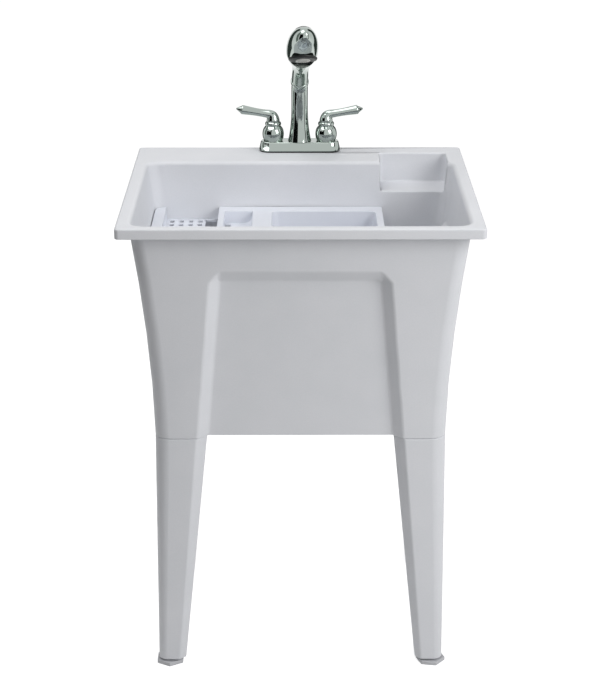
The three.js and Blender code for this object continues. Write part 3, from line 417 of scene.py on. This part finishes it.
def sweptPiece(name, sections, sides=64, stretch=1.0, about="X"):
    # sections: (place, lean in degrees, radius), extruded from one to the next
    place, lean, radius = sections[0]
    piece = startPiece(name, bpy.ops.mesh.primitive_circle_add, vertices=sides, radius=radius,
                       fill_type="NGON")
    editAll(piece)
    bpy.ops.transform.resize(value=(1, stretch, 1), center_override=(0, 0, 0))
    bpy.ops.transform.rotate(value=-math.radians(lean), orient_axis=about, center_override=(0, 0, 0))
    bpy.ops.transform.translate(value=place)
    for nextPlace, nextLean, nextRadius in sections[1:]:
        move = Vector(nextPlace) - Vector(place)
        bpy.ops.mesh.extrude_region_move(TRANSFORM_OT_translate={"value": move})
        if nextLean != lean:
            bpy.ops.transform.rotate(value=-math.radians(nextLean - lean), orient_axis=about,
                                     center_override=nextPlace)
        if nextRadius != radius:
            size = nextRadius / radius
            bpy.ops.transform.resize(value=(size, size, size), center_override=nextPlace)
        place, lean, radius = nextPlace, nextLean, nextRadius
    faceOutwards()
    return piece


# the tub, its legs and feet
tub = {"merge": 0.6 * mm, "joinFlats": True, "edgeAngle": 34, "radius": 3.5 * mm, "segments": 4,
       "ringsInParts": True, "thinLevels": (454.1 * mm, 838.8 * mm), "thinShare": 0.5}
legs = {"merge": 0.1 * mm, "joinFlats": True, "edgeAngle": 28, "radius": 2.6 * mm, "segments": 3}
feet = {"merge": 0.1 * mm, "joinFlats": True, "edgeAngle": 30, "radius": 1.1 * mm, "segments": 3}
# each rear post's outer corner, in mm, which is open in the hollow post's CAD form
postCorner = {
    "heights": (455, 550, 646.5, 742.6, 838),
    "side": 249.4,  # from the tub's middle sideways to the corner's, at the lowest height
    "back": 211.4,  # and backwards
    "flare": 31.4,  # further out at the highest
    "power": 1.7,  # of the flare's curve
    "outline": [(-14.5, -2.6), (-8.4, -1.9), (-5.4, 0.1), (5.4, 0.1), (8.4, -1.9), (14.5, -2.6),
                (14.5, -6.5), (-14.5, -6.5)],  # (along, out) from the corner's middle
    "slant": 0.7071,  # the corner looks out at 45 degrees
    "rounding": 2,
}
# the shelf recess's left wall, in mm, which is open to the space under the deck in the CAD form
recessWall = {"low": (148.6, 168, 803), "high": (152, 224, 853)}


def addRecessWall(piece):
    low, high = Vector(recessWall["low"]) * mm, Vector(recessWall["high"]) * mm
    wall = startPiece("recessWall", bpy.ops.mesh.primitive_cube_add, size=1)
    editAll(wall)
    bpy.ops.transform.resize(value=high - low, center_override=(0, 0, 0))
    bpy.ops.transform.translate(value=(low + high) / 2)
    bpy.ops.object.mode_set(mode="OBJECT")
    joined([piece, wall])


def addPostCorner(piece, side):
    # the outline is drawn at the lowest height and extruded up along the flare
    outline, slant, heights = postCorner["outline"], postCorner["slant"], postCorner["heights"]
    rows = []
    for i, z in enumerate(heights):  # places to 0.1 mm
        further = postCorner["flare"] * (i / (len(heights) - 1)) ** postCorner["power"]
        x = round(postCorner["side"] + further, 1)
        y = round(postCorner["back"] + further, 1)
        rows.append(Vector((side * x, y, z)) * mm)
    corner = startPiece("postCorner", bpy.ops.mesh.primitive_circle_add, vertices=len(outline),
                        radius=10 * mm, fill_type="NGON")
    for vertex, (along, out) in zip(corner.data.vertices, outline):
        shift = Vector((side * (along + out) * slant, (out - along) * slant, 0)) * mm
        vertex.co = rows[0] + shift
    editAll(corner)
    for before, now in zip(rows, rows[1:]):
        bpy.ops.mesh.extrude_region_move(TRANSFORM_OT_translate={"value": now - before})
    faceOutwards()
    roundEdges(corner, sharperThan=30, width=postCorner["rounding"] * mm, segments=3)
    evenShading(corner, smoothTo=50)
    joined([piece, corner])


tubMoulding = mouldedCopy("tubMoulding", "tub", tub)
addRecessWall(tubMoulding)
for side in (-1, 1):
    addPostCorner(tubMoulding, side)
standFor(tubMoulding, "tub")
for end in ("front", "rear"):
    for hand in ("left", "right"):
        corner = end.capitalize() + hand.capitalize()
        standFor(mouldedCopy("leg" + corner, f"leg_{end}_{hand}", legs), f"leg_{end}_{hand}")
        standFor(mouldedCopy("levellingFoot" + corner, f"foot_{end}_{hand}", feet), f"foot_{end}_{hand}")
print("stage: tub, legs and feet")

# the storage tray
tray = {"merge": 0.3 * mm, "joinFlats": False, "edgeAngle": 30, "radius": 1.2 * mm, "segments": 3}
standFor(mouldedCopy("storageTray", "storage_tray", tray), "storage_tray")
print("stage: tray")

# the faucet's base, hubs and levers
base = {"corner": 20 * mm, "cornerSteps": 14, "foot": 2 * mm, "taper": 3.5 * mm, "edge": 2.6 * mm}


def addFaucetBase():
    halfX, halfY = baseHigh.x, baseHigh.y - faucetY
    middle = (0, faucetY, baseLow.z)
    rise = baseHigh.z - baseLow.z - base["foot"]
    piece = startPiece("faucetBase", bpy.ops.mesh.primitive_plane_add, size=2)
    editAll(piece)
    bpy.ops.transform.resize(value=(halfX, halfY, 1), center_override=(0, 0, 0))
    bpy.ops.transform.translate(value=middle)
    bpy.ops.mesh.bevel(offset=base["corner"], segments=base["cornerSteps"], affect="VERTICES")
    bpy.ops.mesh.select_all(action="SELECT")
    bpy.ops.mesh.extrude_region_move(TRANSFORM_OT_translate={"value": (0, 0, base["foot"])})
    bpy.ops.mesh.extrude_region_move(TRANSFORM_OT_translate={"value": (0, 0, rise)})
    narrow = (1 - base["taper"] / halfX, 1 - base["taper"] / halfY, 1)
    bpy.ops.transform.resize(value=narrow, center_override=middle)
    faceOutwards()
    roundEdges(piece, sharperThan=40, width=base["edge"], segments=5, hardened=True)
    evenShading(piece, smoothTo=30)
    standFor(piece, "faucet_base")


addFaucetBase()

# outlines in mm: (radius, height) above the base
hub = {
    "foot": [(17.9, 0), (18.2, 0.6), (18.5, 1.6)],
    "bulb": [(18.5, 1.6), (20.3, 6), (21, 12), (20.4, 18), (18.6, 23.5), (15.6, 27.6), (14.3, 29.2)],
    "bead": [(14.3, 29.2), (15.4, 30.6), (15.7, 32.6), (15.2, 34.6), (14, 36.3), (13.4, 36.9)],
    "inside": [(4.3, 36.9), (4.3, 33.9), (12.2, 29), (12.2, 25), (16, 19), (16, 0), (17.9, 0)],
}
# sections: (out, up, lean in degrees, radius), up from the hub's top
lever = {
    "elbow": [(0, 0, 0, 12.6), (0, 3.2, 0, 12.5), (0.2, 5.6, 3, 12.0), (0.9, 8.4, 12, 11.2),
              (2.4, 11.0, 30, 10.2), (5.2, 13.0, 52, 9.2), (9.4, 14.2, 70, 8.4)],
    "arm": [(9.4, 14.2, 70, 8.4), (16, 15.0, 79, 7.8), (28, 17.0, 80, 7.5), (40, 19.1, 80, 7.9),
            (50, 20.8, 80, 8.6), (58, 22.2, 80, 9.1)],
    "tip": [(59.5, 22.5, 80, 9.1), (60.6, 22.7, 80, 8.5), (61.2, 22.8, 80, 7.2),
            (64, 23.3, 80, 5.6), (67, 23.8, 80, 3.6), (69.6, 24.2, 80, 2.0), (70.6, 24.4, 80, 0.8)],
}
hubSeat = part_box("valve_hub_left")[0].z
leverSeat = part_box("lever_left")[0].z
valveLow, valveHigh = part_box("valve_right")


def addValveTop(side, hand):
    x = side * (valveLow.x + valveHigh.x) / 2
    outline = smoothed(hub["foot"], steps=2) + smoothed(hub["bulb"], steps=4)[1:]
    outline += smoothed(hub["bead"], steps=3)[1:] + hub["inside"]
    piece = turnedPiece("valveHub" + hand, outline, (x, faucetY, hubSeat))
    evenShading(piece, smoothTo=32)
    standFor(piece, f"valve_hub_{hand.lower()}")
    sections = smoothed(lever["elbow"], steps=3) + smoothed(lever["arm"], steps=3)[1:] + lever["tip"]
    swept = [((x + side * out * mm, faucetY, leverSeat + up * mm), side * lean, radius * mm)
             for out, up, lean, radius in sections]
    piece = sweptPiece("lever" + hand, swept, sides=48, about="Y")
    evenShading(piece, smoothTo=32)
    standFor(piece, f"lever_{hand.lower()}")


addValveTop(-1, "Left")
addValveTop(1, "Right")
print("stage: faucet base, hubs and levers")

# the spout, in mm: modelled upright at X = 0, Y = 0, then turned to where it stands
spout = {
    "swing": 3.2,  # degrees
    "footRadius": 22.4,
    "radius": 16,
    "taper": 68,
    "taperSteps": 16,
    "power": 2.4,
    "riser": 94.7,  # up to the bend
    "bend": 37,  # degrees
    "bendRadius": 40,
    "bendSteps": 12,
    "collar": 9,  # its length
    "collarRadius": 17.4,
    "collarRise": 1.4,  # of the outline below, which is scaled to the radius above
    "collarOutline": [(-9.2, 0), (-9.0, 0.1), (-8.4, 0.7), (-7.4, 1.2), (-5.5, 1.4), (-2.6, 1.4),
                      (-1.2, 1.2), (-0.4, 0.7), (0, 0.1)],  # (along, out) back from the dock's mouth
}
dock = {
    "radius": 12.5,
    "depth": 24,
    "gap": 0.3,
    "past": 5,  # how far the cut runs out of the mouth
    "spigotLength": 22,
    "spigotRoot": 4,  # how far the spigot runs into the head
    "hoseRadius": 10,
    "hoseSides": 32,
    "hoseStep": 4,  # degrees
    "hoseBelow": 2,  # how far the cut runs out of the foot
}
spoutSeat = hubSeat / mm  # the column and the hubs stand on the same plate


def swingOut(piece):
    editAll(piece)
    bpy.ops.transform.rotate(value=-math.radians(spout["swing"]), orient_axis="Z",
                             center_override=(0, 0, 0))
    bpy.ops.transform.translate(value=(0, faucetY, 0))
    bpy.ops.object.mode_set(mode="OBJECT")


def bendPlace(degrees):
    # (y, z) on the column's line, that far round the bend
    lean = math.radians(degrees)
    return (-spout["bendRadius"] * (1 - math.cos(lean)),
            spoutSeat + spout["riser"] + spout["bendRadius"] * math.sin(lean))


def pastDock(along):
    # a place on the dock's line, along mm past the column's end
    y, z = bendPlace(spout["bend"])
    lean = math.radians(spout["bend"])
    return y - along * math.sin(lean), z + along * math.cos(lean)


def section(y, z, lean, radius):
    # a place in mm as sweptPiece takes it
    return (0, y * mm, z * mm), lean, radius * mm


def dockSection(along, radius):
    return section(*pastDock(along), spout["bend"], radius)


def dockRod(low, high, radius):
    return sweptPiece("cutter", [dockSection(along, radius) for along in (low, high)])


def addColumn():
    sections = []
    for i in range(spout["taperSteps"] + 1):
        share = i / spout["taperSteps"]
        swell = (spout["footRadius"] - spout["radius"]) * (1 - share) ** spout["power"]
        sections.append(section(0, spoutSeat + spout["taper"] * share, 0, spout["radius"] + swell))
    bendEnd = spout["bend"] - math.degrees(spout["collar"] / spout["bendRadius"])
    for i in range(spout["bendSteps"] + 1):
        degrees = spout["bend"] * i / spout["bendSteps"]
        if degrees < bendEnd:
            sections.append(section(*bendPlace(degrees), degrees, spout["radius"]))
    crown = spout["collarRadius"] - spout["radius"]
    for along, out in spout["collarOutline"]:
        sections.append(dockSection(along, spout["radius"] + out * crown / spout["collarRise"]))
    sections.append(dockSection(0, dock["radius"] + dock["gap"]))
    piece = sweptPiece("spoutColumn", sections)
    carve(piece, dockRod(-dock["depth"], dock["past"], dock["radius"]))
    way = [section(0, spoutSeat - dock["hoseBelow"], 0, dock["hoseRadius"])]
    way += [section(*bendPlace(degrees), degrees, dock["hoseRadius"])
            for degrees in range(0, spout["bend"], dock["hoseStep"])]
    carve(piece, sweptPiece("cutter", way, sides=dock["hoseSides"]))
    swingOut(piece)
    evenShading(piece, smoothTo=34)
    standFor(piece, "spout_column")


addColumn()

# the pull-out spray, in mm: an egg on a waisted neck, which curves over from the dock
wand = {
    "length": 190,
    "endRise": 24,  # degrees above level at its nose
    "radius": 30.04,
    "neck": 20,
    "fullAt": 100,
    "power": 3.2,
    "steps": 48,
    "seam": (0.3, 0.7),  # where the head starts past the dock, and where it is full: a fine groove
    "seamDepth": 0.5,
    "nose": (2.6, 1.5, 0.7, 0.2),  # places short of the end, where it closes over
    "cutDepth": 60,  # cutters reach this far from the middle
}
sprayFace = {
    "at": 30,  # steps along the wand
    "tilt": 11,  # degrees that it looks further down than the wand does there
    "seat": 22.4,  # where the head is cut flat for it, out from the wand's line
    "seatRadius": 30,
    "collar": [(0, -22.7), (26.2, -22.7), (26.8, -23.2), (26.6, -24.6), (25.6, -26.2), (24.2, -26.9),
               (14.4, -26.9), (13.9, -26.4), (0, -26.4)],
    "plate": [(0, -26.0), (13.2, -26.0), (13.6, -26.8), (13.3, -27.9), (12.4, -28.3), (0, -28.5)],
    "nozzleRings": ((0, 1), (3.7, 6), (7.4, 12), (10.9, 18)),
    "nozzle": [(0, -29.2), (0.5, -29.2), (0.8, -28.9), (1.1, -28.0), (0, -28.0)],
    "nozzleSides": 10,
}
sprayButton = {
    "at": 40,  # steps along the wand
    "halfWidth": 14.8,
    "halfLength": 18,
    "gap": 0.3,
    "seat": 12,  # the pocket's floor, up from the wand's line
    "travel": 2.3,  # room under the button
    "edge": 0.5,
}


def wandLine():
    # (y, z, rise in degrees) along the middle of the spray's neck and head
    y, z = pastDock(0)
    firstRise = rise = 90 - spout["bend"]
    step = wand["length"] / wand["steps"]
    line = [(y, z, rise)]
    for i in range(1, wand["steps"] + 1):
        nextRise = firstRise + (wand["endRise"] - firstRise) * i / wand["steps"]
        lean = math.radians((rise + nextRise) / 2)
        y, z, rise = y - step * math.cos(lean), z + step * math.sin(lean), nextRise
        line.append((y, z, rise))
    return line


def wandRadius(along):
    if along < wand["fullAt"]:
        share = min(max((along - wand["neck"]) / (wand["fullAt"] - wand["neck"]), 0), 1)
        swell = math.sin(share * math.pi / 2) ** wand["power"]
        return spout["radius"] + (wand["radius"] - spout["radius"]) * swell
    share = (along - wand["fullAt"]) / (wand["length"] - wand["fullAt"])
    return wand["radius"] * math.sqrt(max(1 - share ** 2, 0))


def wandSections():
    line = wandLine()
    step = wand["length"] / wand["steps"]
    seamStart, seamEnd = wand["seam"]
    sections = [dockSection(seamStart, spout["radius"] - wand["seamDepth"]),
                dockSection(seamEnd, spout["radius"])]
    for i in range(1, wand["steps"]):
        y, z, rise = line[i]
        sections.append(section(y, z, 90 - rise, wandRadius(i * step)))
    y, z, rise = line[-1]
    lean = math.radians(rise)
    for short in wand["nose"]:
        sections.append(section(y + short * math.cos(lean), z - short * math.sin(lean), 90 - rise,
                                wandRadius(wand["length"] - short)))
    return sections


def crossFrame(at, tilt=0):
    # a place on the wand's line, the way up across it there, and its rise in degrees
    y, z, rise = wandLine()[at]
    rise -= tilt
    lean = math.radians(rise)
    return Vector((0, y, z)) * mm, Vector((0, math.sin(lean), math.cos(lean))), rise


def crossCutter(at, low, high, radius, stretch=1.0, tilt=0):
    middle, up, rise = crossFrame(at, tilt)
    places = [middle + up * low * mm, middle + up * high * mm]
    return sweptPiece("cutter", [(tuple(place), -rise, radius * mm) for place in places], stretch=stretch)


def addSprayHead():
    piece = sweptPiece("sprayHead", wandSections())
    carve(piece, crossCutter(sprayFace["at"], -wand["cutDepth"], -sprayFace["seat"],
                             sprayFace["seatRadius"], tilt=sprayFace["tilt"]))
    width = sprayButton["halfWidth"] + sprayButton["gap"]
    stretch = (sprayButton["halfLength"] + sprayButton["gap"]) / width
    carve(piece, crossCutter(sprayButton["at"], sprayButton["seat"], wand["cutDepth"], width, stretch))
    carve(piece, dockRod(-dock["spigotLength"], dock["spigotRoot"], dock["radius"] - dock["gap"]), "UNION")
    swingOut(piece)
    evenShading(piece, smoothTo=34)
    standFor(piece, "spray_head")


def addSprayFace():
    middle, up = crossFrame(sprayFace["at"], sprayFace["tilt"])[:2]
    piece = turnedPiece("sprayFace", sprayFace["collar"], middle, axis=up)
    evenShading(piece, smoothTo=34)
    swingOut(piece)
    standFor(piece, "spray_face")


def addSprayNozzles():
    # the rubber nozzles stand on a plate of their own inside the dark ring
    middle, up = crossFrame(sprayFace["at"], sprayFace["tilt"])[:2]
    across = up.cross(Vector((1, 0, 0)))
    plate = turnedPiece("sprayNozzles", sprayFace["plate"], middle, axis=up)
    nozzle = turnedPiece("nozzle", sprayFace["nozzle"], middle, steps=sprayFace["nozzleSides"], axis=up)
    copies = []
    for radius, cosine, sine in ringPlaces(sprayFace["nozzleRings"]):
        copy = bpy.data.objects.new("nozzle", nozzle.data.copy())
        bpy.context.scene.collection.objects.link(copy)
        editAll(copy)
        bpy.ops.transform.translate(value=(Vector((cosine, 0, 0)) + across * sine) * radius * mm)
        bpy.ops.object.mode_set(mode="OBJECT")
        copies.append(copy)
    bpy.data.objects.remove(nozzle)
    joined([plate, *copies])
    evenShading(plate, smoothTo=34)
    swingOut(plate)
    plate.data.materials.clear()
    plate.data.materials.append(finishes["fitting_plastic"])
    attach(plate, bodyOf["spray_face"])


def addSprayButton():
    # cut from the head's own form, so that it lies flush
    piece = sweptPiece("sprayButton", wandSections(), sides=96)
    low = sprayButton["seat"] + sprayButton["travel"]
    stretch = sprayButton["halfLength"] / sprayButton["halfWidth"]
    carve(piece, crossCutter(sprayButton["at"], low, wand["cutDepth"], sprayButton["halfWidth"], stretch),
          "INTERSECT")
    roundEdges(piece, sharperThan=40, width=sprayButton["edge"] * mm, segments=3)
    swingOut(piece)
    evenShading(piece, smoothTo=40)
    standFor(piece, "spray_button")


addSprayHead()
addSprayFace()
addSprayNozzles()
addSprayButton()
print("stage: spout and spray")

# the strainer and what hangs under the tub. Outlines: (radius, height above the floor) in mm
strainer = {
    "body": [(43.5, 516.3), (56.3, 516.3), (56.9, 516.7), (56.9, 517.6), (56.3, 518.2), (49, 518.3),
             (44, 518.0), (41.8, 517.2), (41, 515.8), (41, 513.3), (38.8, 513.1), (38.3, 511.5),
             (36, 482.3), (31, 477.4), (24, 475.0), (17, 474.3), (17, 444.3), (19, 444.3),
             (19, 471.8), (30, 473.6), (38, 477.0), (41, 480.3), (43.5, 516.3)],
    "basket": [(0, 487.6), (29.8, 487.6), (31.8, 488.3), (32.6, 490), (34.4, 509.6), (35.4, 512.4),
               (37.4, 513.6), (40, 513.6), (40.4, 514.0), (40.4, 514.7), (40, 515.1), (37.2, 514.9),
               (34.8, 514.0), (33.2, 511.6), (30.6, 492.6), (29.6, 491.0), (27.8, 490.6),
               (3.6, 490.6), (3, 491.4), (3, 517.0), (4.2, 519.0), (7.2, 520.2), (8, 521.6),
               (7.8, 523.6), (6.6, 525.2), (4.2, 526.3), (0, 526.6)],
    "holeRings": ((9, 8), (15.5, 12), (22, 18)),
    "holeRadius": 1.7,
    "holeSides": 12,
    "holeMiddle": 489,  # height of the cutters' middle
    "holeDepth": 10,
}
fittings = {"merge": 0.05 * mm, "joinFlats": True, "edgeAngle": 30, "radius": 0.5 * mm, "segments": 2}
fittingNodes = {
    "lockNut": "drain_lock_nut", "drainWasher": "drain_washer", "drainGasket": "drain_gasket",
    "tailpiece": "drain_tailpiece", "slipNut": "drain_slip_nut", "hoseGuide": "hose_guide",
    "faucetGasket": "faucet_gasket", "shankNutLeft": "shank_nut_left", "shankNutRight": "shank_nut_right",
    "valveLeft": "valve_left", "valveRight": "valve_right", "stemLeft": "valve_stem_left",
    "stemRight": "valve_stem_right",
}


def pierceBasket(basket):
    cutters = []
    for radius, cosine, sine in ringPlaces(strainer["holeRings"]):
        place = (radius * mm * cosine, drainY + radius * mm * sine, strainer["holeMiddle"] * mm)
        cutters.append(startPiece(
            "cutter", bpy.ops.mesh.primitive_cylinder_add, vertices=strainer["holeSides"],
            radius=strainer["holeRadius"] * mm, depth=strainer["holeDepth"] * mm, location=place))
    carve(basket, joined(cutters))


def addStrainer():
    foot = (0, drainY, 0)
    body = turnedPiece("strainerBody", strainer["body"], foot)
    basket = turnedPiece("strainerBasket", strainer["basket"], foot)
    pierceBasket(basket)
    for piece, node in ((body, "drain_body"), (basket, "drain_basket")):
        evenShading(piece, smoothTo=32)
        standFor(piece, node)


addStrainer()
for name, node in fittingNodes.items():
    standFor(mouldedCopy(name, node, fittings), node)
print("stage: strainer and fittings")

# floor, world and lamps
studio = {
    "floorColour": "#e8e8e8",
    "floorSize": 40,  # metres
    "floorLift": 0.75,  # what the camera sees added to the lit floor, so that it is white but for the shadow
    "sky": 0.34,
    "top": {"place": (-0.7, -0.2, 2.7), "target": (0, 0, 0.8), "size": (1.8, 1.6), "watts": 20},
    "side": {"place": (1.7, -1.5, 1.9), "target": (0, 0, 0.7), "size": (1.0, 1.4), "watts": 30},
}
cards = {
    # a board that shades the left. The others are only there for the chrome to mirror
    "shade": {"angle": -52, "away": 1.5, "height": 0.75, "size": (1.2, 1.5), "colour": "#141516"},
    "frontLeft": {"angle": -27, "away": 1.6, "height": 1.2, "size": (0.42, 2.4), "colour": "#1f2321"},
    "right": {"angle": 68, "away": 1.6, "height": 1.2, "size": (0.25, 2.4), "colour": "#2c312e"},
    "left": {"angle": -90, "away": 1.6, "height": 1.2, "size": (0.6, 2.4), "colour": "#818a85"},
    "backLeft": {"angle": -140, "away": 1.7, "height": 1.2, "size": (0.8, 2.4), "colour": "#3c4440"},
    "backRight": {"angle": 140, "away": 1.7, "height": 1.2, "size": (0.8, 2.4), "colour": "#3c4440"},
}


def addLookedAt(tree):
    # 1 where the camera, a mirror or a clear piece looks, and 0 for the light that falls on things
    path = addNode(tree, "ShaderNodeLightPath")
    looked = addNode(tree, "ShaderNodeMath", {"operation": "MAXIMUM"},
                     {0: (path, "Is Camera Ray"), 1: (path, "Is Glossy Ray")})
    return addNode(tree, "ShaderNodeMath", {"operation": "MAXIMUM"},
                   {0: (looked, 0), 1: (path, "Is Transmission Ray")})


def addFloor():
    material, tree = startMaterial("floorPaper")
    lift = addNode(tree, "ShaderNodeMath", {"operation": "MULTIPLY", 1: studio["floorLift"]},
                   {0: (addLookedAt(tree), 0)})
    glow = addNode(tree, "ShaderNodeEmission", {"Color": (1, 1, 1, 1)}, {"Strength": (lift, 0)})
    paper = addNode(tree, "ShaderNodeBsdfDiffuse", {"Color": linear(studio["floorColour"])})
    both = addNode(tree, "ShaderNodeAddShader", None, {0: (paper, 0), 1: (glow, 0)})
    addNode(tree, "ShaderNodeOutputMaterial", None, {"Surface": (both, 0)})
    floor = startPiece("floor", bpy.ops.mesh.primitive_plane_add, size=studio["floorSize"])
    floor.data.materials.append(material)


def addSky():
    world = bpy.data.worlds.new("studio")
    bpy.context.scene.world = world
    world.use_nodes = True
    background = world.node_tree.nodes["Background"]
    background.inputs["Color"].default_value = (1, 1, 1, 1)
    level = addNode(world.node_tree, "ShaderNodeMapRange", {"To Min": studio["sky"], "To Max": 1.0},
                    {"Value": (addLookedAt(world.node_tree), 0)})
    world.node_tree.links.new(level.outputs[0], background.inputs["Strength"])


def addLamp(name, look):
    data = bpy.data.lights.new(name, "AREA")
    data.shape = "RECTANGLE"
    data.size, data.size_y = look["size"]
    data.energy = look["watts"]
    lamp = bpy.data.objects.new(name, data)
    lamp.location = look["place"]
    toTarget = Vector(look["target"]) - Vector(look["place"])
    lamp.rotation_euler = toTarget.to_track_quat("-Z", "Y").to_euler()
    bpy.context.scene.collection.objects.link(lamp)


def addCard(side, look):
    # angle is round from the front towards the right, and away is from the faucet
    material, tree = startMaterial(side + "CardPaper")
    isBoard = side == "shade"
    if isBoard:
        paper = addNode(tree, "ShaderNodeBsdfDiffuse", {"Color": linear(look["colour"])})
    else:
        paper = addNode(tree, "ShaderNodeEmission", {"Color": linear(look["colour"]), "Strength": 1.0})
    addNode(tree, "ShaderNodeOutputMaterial", None, {"Surface": (paper, 0)})
    angle = math.radians(look["angle"])
    middle = (look["away"] * math.sin(angle), faucetY - look["away"] * math.cos(angle), look["height"])
    card = startPiece(side + "Card", bpy.ops.mesh.primitive_plane_add, size=1, location=middle,
                      rotation=(math.pi / 2, 0, angle))
    card.scale = (*look["size"], 1)
    card.data.materials.append(material)
    card.visible_camera = False
    card.visible_shadow = False
    card.visible_transmission = False
    card.visible_diffuse = isBoard


addFloor()
addSky()
for side, look in cards.items():
    addCard(side, look)
addLamp("topLamp", studio["top"])
addLamp("sideLamp", studio["side"])
bpy.context.scene.view_settings.view_transform = "Standard"
print("stage: studio")
